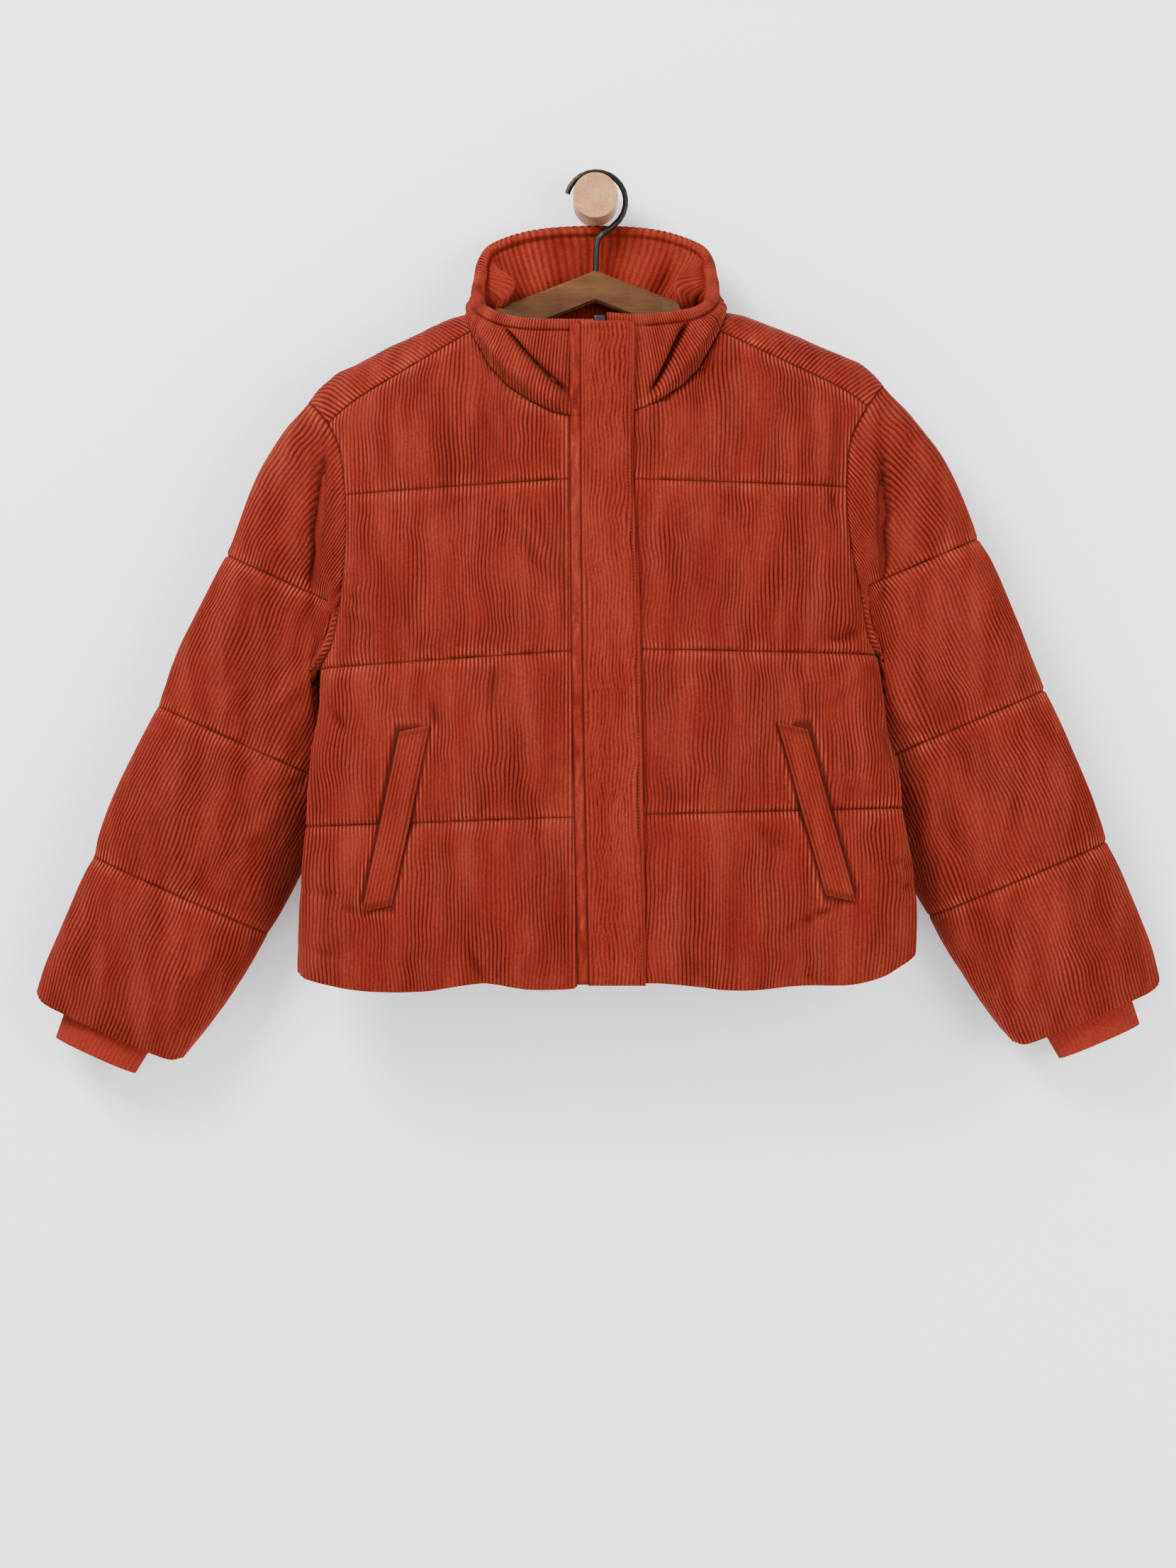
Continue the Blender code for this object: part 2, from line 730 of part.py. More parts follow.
# Rows of the back's highest channel, which runs over the shoulders, and of the sleeves' caps.
SHOULDER_ROWS = np.array([0, 0.05, 0.14, 0.26, 0.38, 0.5, 0.6, 0.69, 0.78, 0.86, 0.93, 1.0])
CAP_ROWS = np.array([0, 0.06, 0.2, 0.42, 0.64, 0.84, 0.95, 1.0])


def back_grid(side):
    """Half of the back, from the middle out. Its top row follows the neck, then the forward seam."""
    corner_s, corner_z = (float(v) for v in forward_seam(side, 0.0))
    end_s, end_z = (float(v) for v in forward_seam(side, 1.0))
    u = half_columns(corner_s / float(back_outer(side, corner_z)))

    def meets_top(n):
        """The height at which a column meets the back's upper edge."""
        return solve_height(lambda z: n * back_outer(side, z), lambda s: back_top(side, s), *BACK_TOPS)

    top = np.array([meets_top(n) for n in u[:-1]] + [end_z])
    top[CORNER] = corner_z
    hem = np.full(len(u), BACK_HEM) + (HEM[side]["z"][-1] - BACK_HEM) * u**6
    at_side = [pair[1] for pair in QUILT[side]]
    seams = [middle + (edge - middle) * u**3 for middle, edge in zip(BACK_QUILT, at_side)]
    levels = np.array([hem, *seams, top])
    places = np.concatenate([stacked_rows(4)[:-1], 3 + SHOULDER_ROWS])
    z = between(places, levels)
    s = u * back_outer(side, z)
    s[-1, -1] = end_s
    base = back_point(side, s, z)
    low = np.minimum(places.astype(int), 3)
    fill = channel(places - low)[:, None] * rise_from(back_outer(side, z) - s + 2)
    over = smooth((places - 3.25) / 0.3)[:, None] * smooth((u - 0.2) / 0.2)
    return dict(base=base, fill=fill * (1 - 0.35 * over), u=u, places=places)


def build_back():
    """Makes the back in one piece, and returns what the collar and the sleeves need of its halves."""
    halves = {side: back_grid(side) for side in SHOULDERS}
    right, left = halves["right"], halves["left"]
    base = np.concatenate([right["base"][:, :0:-1], left["base"]], axis=1)
    fill = np.concatenate([right["fill"][:, :0:-1], left["fill"]], axis=1)
    u = np.concatenate([-right["u"][:0:-1], left["u"]])
    places = right["places"]
    base = draw_back(base, ["first", "last", "high"])
    normal = normals(base)
    normal *= np.sign(normal[: len(places) // 2, :, 1:2].mean())
    middle = len(right["u"]) - 1
    normal[:, : middle + 1] = seam_normals(normal[:, middle::-1], right["base"], "right")[:, ::-1]
    normal[:, middle:] = seam_normals(normal[:, middle:], left["base"], "left")
    right["normal"], left["normal"] = normal[:, middle::-1], normal[:, middle:]
    outer = base + normal * (BACK_PUFF * fill)[..., None]
    panel("back", outer, base - normal * WALL, places, u, "corduroy", BACK_INNER_ROWS, np.arange(2, 23, 2))
    return halves


# --- Sleeves -------------------------------------------------------------------------------------------


SECTION_HALF = (86.0, 30.0)  # half width and depth for which the section's points are even


def section_half(count=241):
    """(share, across, deep) of half a sleeve's section, from its inner edge over the front to its outer."""
    angle = np.linspace(0, math.pi, count)
    across = -np.cos(angle)
    across = np.sign(across) * np.abs(across) ** (2 / SLEEVE_POWER)
    deep = np.sin(angle) ** (2 / SLEEVE_POWER)
    steps = np.hypot(np.diff(across) * SECTION_HALF[0], np.diff(deep) * SECTION_HALF[1])
    arc = np.concatenate([[0], np.cumsum(steps)])
    share = np.linspace(0, 1, 201)
    return share, np.interp(share, arc / arc[-1], across), np.interp(share, arc / arc[-1], deep)


SECTION = section_half()


def section_at(turn):
    """(across, deep) of a sleeve's section. turn runs 0 to 1 from the inner edge over the front."""
    half = np.where(turn <= 0.5, turn * 2, 2 - turn * 2)
    across = np.interp(half, SECTION[0], SECTION[1])
    return across, np.interp(half, SECTION[0], SECTION[2]) * np.where(turn <= 0.5, -1, 1)


def arm_point(side, h, c, y):
    """A point by its height along the arm, its distance across it and its depth."""
    (hem_out, hem_z), angle = SLEEVES[side]["hem"], math.radians(SLEEVES[side]["angle"])
    out = hem_out - h * math.sin(angle) + c * math.cos(angle)
    z = hem_z + h * math.cos(angle) + c * math.sin(angle)
    return np.stack([SHOULDERS[side]["sign"] * out, y + 0 * out, z], -1)


def tilt(across, h):
    """How far a sleeve's outer edge stands forward, past its hem."""
    return SLEEVE_TILT * across * smooth((h - 20) / 180)


def sleeve_tube(side, turn, h):
    """The sleeve without its cap."""
    across, deep = section_at(turn)
    outer, inner, depth, stand = (curve(h, SLEEVE["h"], SLEEVE[key]) for key in SLEEVE_KEYS)
    c = (outer + inner) / 2 + across * (outer - inner) / 2
    return arm_point(side, h, c, -stand - tilt(across, h) + deep * depth)


def arm_height(side, point):
    """Height along the arm of a point."""
    (hem_out, hem_z), angle = SLEEVES[side]["hem"], math.radians(SLEEVES[side]["angle"])
    out = SHOULDERS[side]["sign"] * point[..., 0]
    return -(out - hem_out) * math.sin(angle) + (point[..., 2] - hem_z) * math.cos(angle)


def armhole_loop(front, back):
    """Points round the armhole, from the underarm up the front, over the shoulder and down the back.

    With each point goes the panels' normal there, and the direction out of the panels."""
    rows = []
    for part in (front, back):
        first = int(np.argmin(np.abs(part["places"] - 2.0)))
        rows.append(np.concatenate([part["base"], part["normal"]], axis=-1)[first:, -1])
        rows[-1] = np.concatenate([rows[-1], -inward(part["base"], "last")[first:]], axis=-1)
    loop = np.concatenate([rows[0], rows[1][::-1][1:]])
    return loop[:, :3], loop[:, 3:6], loop[:, 6:]


def loop_turns(loop):
    """Share of the way round for each point of an armhole, with its highest point outwards at a half."""
    arc = np.concatenate([[0], np.cumsum(np.linalg.norm(np.diff(loop, axis=0), axis=1))])
    tip = int(np.argmax(np.abs(loop[:, 0]) + 0.6 * loop[:, 2]))
    past = (arc - arc[tip]) / (arc[-1] - arc[tip])
    return np.where(arc <= arc[tip], 0.5 * arc / arc[tip], 0.5 + 0.5 * past)


def body_reach(side, y, z):
    """Distance out of the padded body at a depth and a height, or of the armhole's edge above the underarm."""
    hole = FRONT_ARMHOLE[side]
    keys = (side, "side", "front", "back")
    width, edge, front, back = (curve(z, TORSO["z"], TORSO[key]) for key in keys)
    power = np.where(y < edge, FRONT_POWER, curve(z, TORSO["z"], TORSO["round"]))
    deep = np.where(y < edge, (edge - y) / (edge - front + PUFF), (y - edge) / (back - edge + PUFF))
    padding = BODY_PADDING + PUFF * rise_from(np.abs(y - edge))
    reach = (width + padding) * (1 - np.clip(deep, 0, 1) ** power) ** (1 / power)
    return np.where(z > UNDERARM[side], np.minimum(reach, curve(z - 6, hole["z"], hole["out"])), reach)


def keep_off_body(side, points, below_hole, clear):
    """Moves a sleeve's points out to where they clear the body, more so further below the armhole."""
    sign = SHOULDERS[side]["sign"]
    z = points[..., 2]
    reach = body_reach(side, points[..., 1], z) + clear * smooth(below_hole / 2)
    push = np.maximum(reach - sign * points[..., 0], 0)
    push = push * smooth((UNDERARM[side] + 60 - z) / 20) * smooth(below_hole / 2)
    moved = points.copy()
    moved[..., 0] += sign * push
    return moved


def build_sleeve(side, armhole):
    """Makes a sleeve up to the armhole's loop, one tube from its hem."""
    loop, loop_normal, loop_way = armhole
    turns = loop_turns(loop)
    top = arm_height(side, loop)
    places = np.concatenate([stacked_rows(4)[:-1], 3 + CAP_ROWS])
    seam = np.minimum(SLEEVE_SEAMS[3], SLEEVE_SEAMS[2] + (top - SLEEVE_SEAMS[2]) * 0.82)
    level = [np.full(len(top), height) for height in SLEEVE_SEAMS[:3]]
    levels = np.array([*level, seam, top])
    h = between(places, levels)
    straight = sleeve_tube(side, turns, h)
    miss = loop - sleeve_tube(side, turns, top)
    near_body = np.exp(-((np.minimum(turns, 1 - turns) / 0.12) ** 2))
    below = (top - h)[..., None] / (CAP_BLEND + near_body[:, None] * UNDERARM_HASTE)
    base = straight + miss * smooth(1 - below)
    base[:, -1] = base[:, 0]
    base = keep_off_body(side, base, top - h, BODY_CLEAR["base"])
    capped = smooth((top - SLEEVE_SEAMS[3] - 4) / 30)
    low = np.minimum(places.astype(int), 3)
    stitched = channel(places - low)[:, None] + 0 * h
    whole = channel((h - SLEEVE_SEAMS[2]) / (top - SLEEVE_SEAMS[2]))
    fill = np.where(places[:, None] > 2, stitched * capped + whole * (1 - capped), stitched)
    fill = fill * rise_from(top - h + 1)
    fill = fill * (1 - 0.75 * near_body)
    fill = fill * (1 - 0.35 * smooth((turns - 0.5) / 0.1) * smooth((1 - turns) / 0.1))
    turned = np.exp(-((np.minimum(turns, 1 - turns) / 0.04) ** 2))[:, None]
    base[-1] += SEAM_GAP * loop_way + turned * np.array([SHOULDERS[side]["sign"] * 3 * SEAM_GAP, 0.0, 0.0])
    base[:, -1] = base[:, 0]
    normal = normals(base, around=True)
    outward = base - base[:, :-1].mean(axis=1, keepdims=True)
    normal *= np.sign((normal * outward).sum(axis=-1).mean())
    # At the underarm the cloth turns back on itself, and its outside faces down.
    rim = loop_normal * (1 - turned) + np.array([0.0, 0.0, -1.0]) * turned
    normal[-1] = rim / np.linalg.norm(rim, axis=-1, keepdims=True)
    normal[-1, -1] = normal[-1, 0]
    outer = base + normal * (SLEEVE_PUFF * fill)[..., None]
    outer = keep_off_body(side, outer, top - h, BODY_CLEAR["outer"])
    inner = keep_off_body(side, base - normal * WALL, top - h, BODY_CLEAR["inner"])
    tube(f"sleeve_{side}", outer, inner[SLEEVE_INNER_ROWS], "corduroy")


# --- Collar --------------------------------------------------------------------------------------------


def collar_base(fronts, halves):
    """Points of the collar's seam: beside the zip, along the right front, round the back and to the zip."""

    def edge(part):
        """Points, normals and upward directions of a half's neckline."""
        way = -inward(part["base"], "high")
        return np.concatenate([part["base"][-1], part["normal"][-1], way], axis=-1)[: CORNER + 1]

    right, left, back_right, back_left = (edge(part) for part in (*fronts.values(), *halves.values()))
    start = right[0].copy()
    start[0] = centre(-200.0) + STRIP_SPAN[1]
    line = np.concatenate([[start], right, back_right[-2::-1], back_left[1:-1], left[::-1]])
    return line[:, :3], line[:, 3:6], line[:, 6:]


def build_collar(fronts, halves):
    """Makes the stand-up collar, padded, with the fold of its fronts."""
    base_line, base_normal, base_way = collar_base(fronts, halves)
    arc = np.concatenate([[0], np.cumsum(np.linalg.norm(np.diff(base_line, axis=0), axis=1))])
    turn = arc / arc[-1]
    rim = np.stack([curve(turn, COLLAR_RIM["turn"], COLLAR_RIM[key]) for key in ("x", "y", "z")], -1)
    up = np.array([0.0, 0.06, 0.16, 0.3, 0.42, 0.55, 0.72, 0.88, 1.0])
    base_line = base_line + 1.2 * SEAM_GAP * base_way
    grid = base_line[None] * (1 - up)[:, None, None] + rim[None] * up[:, None, None]
    normal = normals(grid)
    outward = grid - np.array([0.0, -55.0, 0.0])
    outward[..., 2] = 0
    normal *= np.sign((normal * outward).sum(axis=-1).mean())
    normal[0] = base_normal
    front = np.minimum(turn, 1 - turn)
    crease = 0.36 + 0.62 * smooth((front - 0.06) / 0.2)
    under_flap = np.where(turn < 0.5, smooth((turn - 0.03) / 0.05), smooth((1 - turn - 0.06) / 0.06))
    roll = COLLAR_ROLL * np.exp(-(((up[:, None] - 0.5 * crease) / 0.13) ** 2))
    dent = COLLAR_CREASE * np.exp(-(((up[:, None] - crease) / 0.07) ** 2)) * smooth((0.3 - front) / 0.08)
    bulge = COLLAR_PUFF * channel(up)[:, None]
    fill = (bulge + (roll + dent) * smooth((0.34 - front) / 0.1) * smooth(up / 0.08)[:, None]) * under_flap
    outer = grid + normal * fill[..., None]
    wall = WALL + (COLLAR_WALL - WALL) * smooth(up / 0.25)
    inner = grid - normal * wall[:, None, None]
    cap = grid[-1:] + np.array([0, 0, 3.0]) - normal[-1:] * COLLAR_WALL / 2
    outer = np.concatenate([outer, cap])
    inner = np.concatenate([inner, inner[-1:] + np.array([0, 0, 0.5])])
    panel("collar", outer, inner, np.append(up, 1.08), turn, "corduroy", np.array([2, 4, 6, 8]))


# --- Hem cuffs -----------------------------------------------------------------------------------------

RIBS = 44
RIB_HEIGHT = 1.1
CUFF_WALL = 2.5
# Storm cuff by height along the arm: half width, half depth and how far its ribs stand out.
CUFF = table("h half depth rib", (-24, 38, 17, 1), (4, 41, 19, 1), (14, 46, 17, 0.6), (36, 65.0, 18.9, 0))


def build_cuff(side):
    """Makes the ribbed cuff inside a sleeve's hem."""
    h = CUFF["h"]
    turns = np.linspace(0, 1, 2 * RIBS + 1)
    across, deep = section_at(turns)
    ridge = np.where(np.arange(len(turns)) % 2 == 0, RIB_HEIGHT, 0.0)

    def ring(less):
        """The cuff's surface, or one that lies further in and is plain."""
        width = CUFF["half"][:, None] + CUFF["rib"][:, None] * ridge * (less == 0) - less
        depth = CUFF["depth"][:, None] + CUFF["rib"][:, None] * ridge * (less == 0) - less
        outer, inner, _, stand = (curve(h, SLEEVE["h"], SLEEVE[key])[:, None] for key in SLEEVE_KEYS)
        c = (outer + inner) / 2 + across * width
        return arm_point(side, h[:, None], c, -stand - tilt(across, h[:, None]) + deep * depth)

    tube(f"cuff_{side}", ring(0), ring(CUFF_WALL)[:, ::4], "rib")


# --- Placket, zip and welts ----------------------------------------------------------------------------


def torso_depth(x, z):
    """Depth of the fronts' base surface near the zip."""
    right = front_point("right", np.maximum(-x, 0.0), z)[..., 1]
    left = front_point("left", np.maximum(x, 0.0), z)[..., 1]
    share = smooth((x + 6) / 12)
    return right * (1 - share) + left * share


def band(name, z, left_edge, right_edge, columns, lift, thick, finish):
    """A strip that lies on the fronts: lift off their base surface, then its own thickness."""
    u = np.linspace(0, 1, columns)
    x = left_edge[:, None] * (1 - u) + right_edge[:, None] * u
    grid_z = np.repeat(z[:, None], columns, axis=1)
    y = torso_depth(x, grid_z) - lift
    inner = np.stack([x, y, grid_z], -1)
    edge = np.minimum(1, 4 * np.minimum(u, 1 - u) + 0.4)
    outer = inner - np.array([0.0, 1.0, 0.0]) * (thick * edge + 0 * x)[..., None]
    panel(name, outer, inner, np.linspace(0, 1, len(z)), u, finish)


NECK_Z = -198.0  # of the collar's seam under the flap
COLLAR_FRONT_TALL = 78.0
FLAP_LIFT = 1.6
FLAP_THICK = 2.6
SNAP_RISE = 1.6


def collar_front_depth(z):
    """Depth of the collar's front under the flap."""
    share = np.clip((z - NECK_Z) / COLLAR_FRONT_TALL, 0, 1)
    start = torso_depth(np.array(10.0), np.array(NECK_Z))
    return start * (1 - share) + COLLAR_RIM["y"][0] * share


FLAP_SNAPS = (-184.0, -262.0, -340.0, -462.0, -562.0, -655.0)  # heights of the hidden snaps, which dimple it


def build_placket():
    """Makes the flap that covers the zip, from the hem to the collar's rim."""
    z = np.concatenate([np.linspace(-698.0, -210.0, 30), np.linspace(NECK_Z, -124.0, 7)])
    left_edge = centre(z) + curve(z, FLAP["z"], FLAP["right"])
    right_edge = centre(z) + curve(z, FLAP["z"], FLAP["left"])
    u = np.array([0.0, 0.04, 0.2, 0.5, 0.78, 0.95, 1.0])
    x = left_edge[:, None] * (1 - u) + right_edge[:, None] * u
    grid_z = np.repeat(z[:, None], len(u), axis=1)
    body = torso_depth(x, np.minimum(grid_z, NECK_Z))
    lower = smooth((grid_z + 210) / 14)
    y = body * (1 - lower) + collar_front_depth(grid_z) * lower - FLAP_LIFT
    fold = np.array([0.35, 0.8, 1.0, 1.0, 1.0, 0.8, 0.35])
    snaps = sum(np.exp(-(((z - at) / 16) ** 2)) for at in FLAP_SNAPS)
    thick = FLAP_THICK * fold + SNAP_RISE * snaps[:, None] * np.array([0, 0.3, 0.8, 1, 0.9, 0.4, 0])
    inner = np.stack([x, y, grid_z], -1)
    outer = inner - np.array([0.0, 1.0, 0.0]) * thick[..., None]
    panel("placket", outer, inner, np.linspace(0, 1, len(z)), u, "corduroy", keep_cols=np.array([2, 4]))


def build_zip():
    """Makes the strip beside the flap and the closed zip's tape under it."""
    z = np.linspace(-697.0, -201.5, 16)
    band("placket_strip", z, centre(z) + STRIP_SPAN[0], centre(z) + STRIP_SPAN[1], 5, -0.6, 1.4, "corduroy")
    band("zip_tape", z, centre(z) + TAPE_SPAN[0], centre(z) + TAPE_SPAN[1], 5, -0.8, 1.6, "tape")


# Slanted welts: upper and lower middles (out, z) and their width.
WELTS = {
    "right": dict(high=(157.0, -474.0), low=(190.0, -631.0), width=27.0),
    "left": dict(high=(171.0, -472.0), low=(213.0, -622.0), width=27.0),
}


WELT_SKEW = 6.0  # a welt's ends drop this far from its inner edge to its outer one
WELT_THICK = 0.8


def ray_depth(tree, x, z):
    """Depth of a piece's front at a place, seen from in front."""
    hit = tree.ray_cast(Vector((x * MM, -0.4, z * MM)), Vector((0, 1, 0)))[0]
    return hit.y / MM


def surface_tree(name):
    """A piece's faces, to cast rays at."""
    piece = bpy.data.objects[name]
    mesh = piece.data
    return BVHTree.FromPolygons([v.co for v in mesh.vertices], [tuple(p.vertices) for p in mesh.polygons])


def build_welt(side):
    """Makes a pocket's welt, which lies on its front."""
    tree = surface_tree(f"front_{side}")
    shape = WELTS[side]
    sign = SHOULDERS[side]["sign"]
    v = np.linspace(0, 1, 13)
    u = np.array([0.0, 0.12, 0.4, 0.7, 0.9, 1.0])
    (high_out, high_z), (low_out, low_z) = shape["high"], shape["low"]
    out = (low_out * (1 - v) + high_out * v)[:, None] + (u - 0.5) * shape["width"]
    z = (low_z * (1 - v) + high_z * v)[:, None] - (u - 0.5) * WELT_SKEW
    height = WELT_THICK + np.array([0.4, 1.2, 1.8, 2.2, 2.6, 1.0])
    around = [(a, b) for a in (-7, 0, 7) for b in (-12, 0, 12)]
    under = np.zeros(out.shape)
    for i, j in np.ndindex(*out.shape):
        depths = [ray_depth(tree, sign * (out[i, j] + a), z[i, j] + b) for a, b in around]
        under[i, j] = min(depths) - 2 * SEAM_GAP
    low = np.stack([sign * out, under, z], -1)
    high = np.stack([sign * out, under - height, z], -1)
    panel(f"welt_{side}", high, low, v, u, "corduroy")


# --- Hanger, hook and peg ------------------------------------------------------------------------------


HOOK_TURNS = (165, -38)  # degrees of the hook's arc, from its tip to its neck
# The hook's neck, (x, z) from the arc to the hanger.
HOOK_NECK = [(13.5, -27.5), (6.5, -32.0), (2.2, -37.5), (0.8, -45.0), (0.5, -58.0)]
STATIONS = np.array([0, 30, 60, 88, 104, 118, 130, 142, 154, 166, 178, 188, HANGER_REACH])
UNDER_CLOTH = 96.0  # from here out the hanger keeps below the jacket's shoulders
BEVEL = 2.5
SLIDER_AT = (4.15, -93.5, -117.5)
SLIDER_SIZE = (10.6, 4.5, 9.0)


def add_material(kind, colour, roughness, metallic=0.0):
    made = bpy.data.materials.new(kind)
    made.use_nodes = True
    shader = made.node_tree.nodes["Principled BSDF"]
    shader.inputs["Base Color"].default_value = (*colour, 1)
    shader.inputs["Roughness"].default_value = roughness
    shader.inputs["Metallic"].default_value = metallic
    return made


def build_peg():
    """Makes the round wall peg."""
    bpy.ops.mesh.primitive_cylinder_add(
        vertices=48, radius=PEG_DIAMETER / 2 * MM, depth=PEG_LENGTH * MM,
        location=(0, -PEG_LENGTH / 2 * MM, 0), rotation=(math.pi / 2, 0, 0),
    )
    peg = bpy.context.object
    peg.name = peg.data.name = "wall_peg"
    peg.data.materials.append(MATERIALS["peg"])
    for other in list(peg.users_collection):
        other.objects.unlink(peg)
    PARTS.objects.link(peg)


def build_hook():
    """Makes the hanger's wire hook, which rests on the peg."""
    arc_z = PEG_DIAMETER / 2 + SEAM_GAP + WIRE / 2 - HOOK_ARC_R
    turns = np.radians(np.linspace(*HOOK_TURNS, 15))
    route = [(HOOK_ARC_R * math.cos(a) + 0.5, arc_z + HOOK_ARC_R * math.sin(a)) for a in turns]
    route += [*HOOK_NECK, (0.5, HANGER_APEX + SEAM_GAP)]
    wire = bpy.data.curves.new("hanger_hook", "CURVE")
    wire.dimensions = "3D"
    wire.bevel_depth = WIRE / 2 * MM
    wire.bevel_resolution = 3
    wire.use_fill_caps = True
    spline = wire.splines.new("POLY")
    spline.points.add(len(route) - 1)
    for point, (x, z) in zip(spline.points, route):
        point.co = (x * MM, HANGER_Y * MM, z * MM, 1)
    hook = bpy.data.objects.new("hanger_hook", wire)
    wire.materials.append(MATERIALS["wire"])
    PARTS.objects.link(hook)


def cloth_over(tree, x, y):
    """Heights at which the shoulder's cloth lies over a place of the hanger."""
    around = [(dx, dy) for dx in (-9, -4.5, 0, 4.5, 9) for dy in (-8, -4, 0, 4, 8)]
    starts = [Vector(((x + dx) * MM, (y + dy) * MM, -0.25)) for dx, dy in around]
    hits = [tree.ray_cast(start, Vector((0, 0, 1)))[0] for start in starts]
    return [hit.z / MM for hit in hits if hit is not None]


def hanger_ring(tree, sign, out):
    """Section of the hanger at a distance out, a rectangle with bevelled corners."""
    y = HANGER_Y - 10.0 * smooth((out - 40) / 60)
    top = HANGER_APEX - out * math.tan(math.radians(HANGER_SLOPE))
    if out > UNDER_CLOTH:
        top = min([top] + [z - 2.6 * SEAM_GAP for z in cloth_over(tree, sign * out, y)])
    tall = HANGER_TALL - 6 * smooth((out - 60) / 130) - 8 * smooth((out - 180) / 16)
    thick = HANGER_THICK / 2 - 2.5 * smooth((out - 170) / 26)
    left = [(-thick, -BEVEL), (-thick + BEVEL, 0)]
    low = [(a, -tall - b) for a, b in left]
    right = [(-a, b) for a, b in left[::-1]]
    profile = [*left, *right, *((-a, b) for a, b in low), *low[::-1]]
    return [(sign * out, y + a, top + b) for a, b in profile]


def build_hanger():
    """Makes the wooden hanger in one piece: straight arms that bend to lie under the shoulders."""
    tree = surface_tree("back")
    rings = [hanger_ring(tree, -1, out) for out in STATIONS[:0:-1]]
    rings += [hanger_ring(tree, 1, out) for out in STATIONS]
    sides = len(rings[0])
    index = np.arange(len(rings) * sides).reshape(-1, sides)
    faces = quads_of(np.concatenate([index, index[:, :1]], axis=1))
    faces += [tuple(index[0]), tuple(index[-1])]
    new_object("hanger", np.array(rings).reshape(-1, 3), faces, "wood")


def build_slider():
    """The zip's slider, closed at the top of the zip, of which only the top shows in the neck."""
    bpy.ops.mesh.primitive_cube_add(size=1, location=Vector(SLIDER_AT) * MM)
    slider = bpy.context.object
    slider.name = slider.data.name = "zip_slider"
    slider.scale = Vector(SLIDER_SIZE) * MM
    bpy.ops.object.transform_apply(location=False, rotation=False, scale=True)
    bevel = slider.modifiers.new("rounding", "BEVEL")
    bevel.width = 1.2 * MM
    bevel.segments = 2
    slider.data.materials.append(MATERIALS["metal"])
    for other in list(slider.users_collection):
        other.objects.unlink(slider)
    PARTS.objects.link(slider)


for old in list(bpy.data.objects):
    bpy.data.objects.remove(old, do_unlink=True)
PARTS = bpy.data.collections.new("puffer_jacket")
bpy.context.scene.collection.children.link(PARTS)
MATERIALS = {
    "corduroy": add_material("corduroy", (0.43, 0.05, 0.02), 0.9),
    "rib": add_material("rib", (0.36, 0.03, 0.015), 0.9),
    "tape": add_material("tape", (0.3, 0.03, 0.015), 0.8),
    "metal": add_material("metal", (0.2, 0.2, 0.2), 0.35, 1.0),
    "wood": add_material("wood", (0.42, 0.25, 0.1), 0.5),
    "wire": add_material("wire", (0.01, 0.01, 0.01), 0.35, 0.6),
    "peg": add_material("peg", (0.7, 0.48, 0.28), 0.6),
}

front_parts = {side: build_front(side) for side in SHOULDERS}
back_halves = build_back()
for side in SHOULDERS:
    build_sleeve(side, armhole_loop(front_parts[side], back_halves[side]))
    build_cuff(side)
    build_welt(side)
build_collar(front_parts, back_halves)
build_placket()
build_zip()
build_slider()
build_hanger()
build_hook()
build_peg()
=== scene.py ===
"""A quilted corduroy puffer jacket on a wooden hanger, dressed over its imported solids.

Sizes are in millimetres in the frame of the part: +Z up, the wall at Y = 0, everything in front of it towards
-Y, and the origin at the centre of the peg's flat back. The wearer's right is at -X.
"""

import math

import bmesh
import bpy
import numpy as np
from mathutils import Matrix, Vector
from mathutils.bvhtree import BVHTree


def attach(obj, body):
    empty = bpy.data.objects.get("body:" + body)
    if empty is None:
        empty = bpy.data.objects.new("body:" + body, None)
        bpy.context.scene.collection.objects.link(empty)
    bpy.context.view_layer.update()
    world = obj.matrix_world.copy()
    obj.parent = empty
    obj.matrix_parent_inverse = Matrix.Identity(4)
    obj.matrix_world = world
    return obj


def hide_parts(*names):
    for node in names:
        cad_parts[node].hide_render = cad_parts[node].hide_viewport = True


MM = 0.001
SEAM_GAP = 0.3
WALL = 3.0  # cloth and lining pressed together at a seam
PUFF = 9.5  # height of the filling in the middle of a channel
EDGE_RISE = 34.0  # from a panel's edge to the full height of its filling
WALE = 3.4  # from one ridge of the corduroy to the next
WALE_HEIGHT = 1.05
# The shade in a seam is painted into the cloth's colour.
SEAM_LINE = 0.75  # half width of the shade in a seam
COLUMN = WALE / 4
BROAD_COLUMN = 4 * WALE  # of the inner faces, which show no wales


def table(names, *rows):
    """Rows of numbers as named columns, sorted by the first."""
    return dict(zip(names.split(), np.array(sorted(rows), float).T))


# Torso sections by height: half widths, and the depths of the front's middle, the sides and the back.
TORSO = table(
    "z right left front side back round",
    (-60, 330, 330, -76, -50, -16, 2.5),
    (-120, 325, 325, -78, -52, -16, 2.5),
    (-180, 300, 300, -86, -55, -16, 2.5),
    (-230, 272, 272, -95, -58, -17, 2.5),
    (-280, 255, 256, -102, -60, -17, 2.5),
    (-340, 247, 248, -107, -61, -18, 2.5),
    (-420, 243, 247, -110, -66, -18, 2.3),
    (-452, 241, 250, -110, -73, -18, 2.1),
    (-500, 248, 261, -111, -80, -18, 2.0),
    (-560, 253, 271, -111, -83, -18, 2.0),
    (-620, 257, 277, -111, -84, -19, 2.1),
    (-710, 262, 284, -108, -82, -21, 2.2),
)
FRONT_POWER = 2.4  # of the fronts' sections; the back's is the table's last column

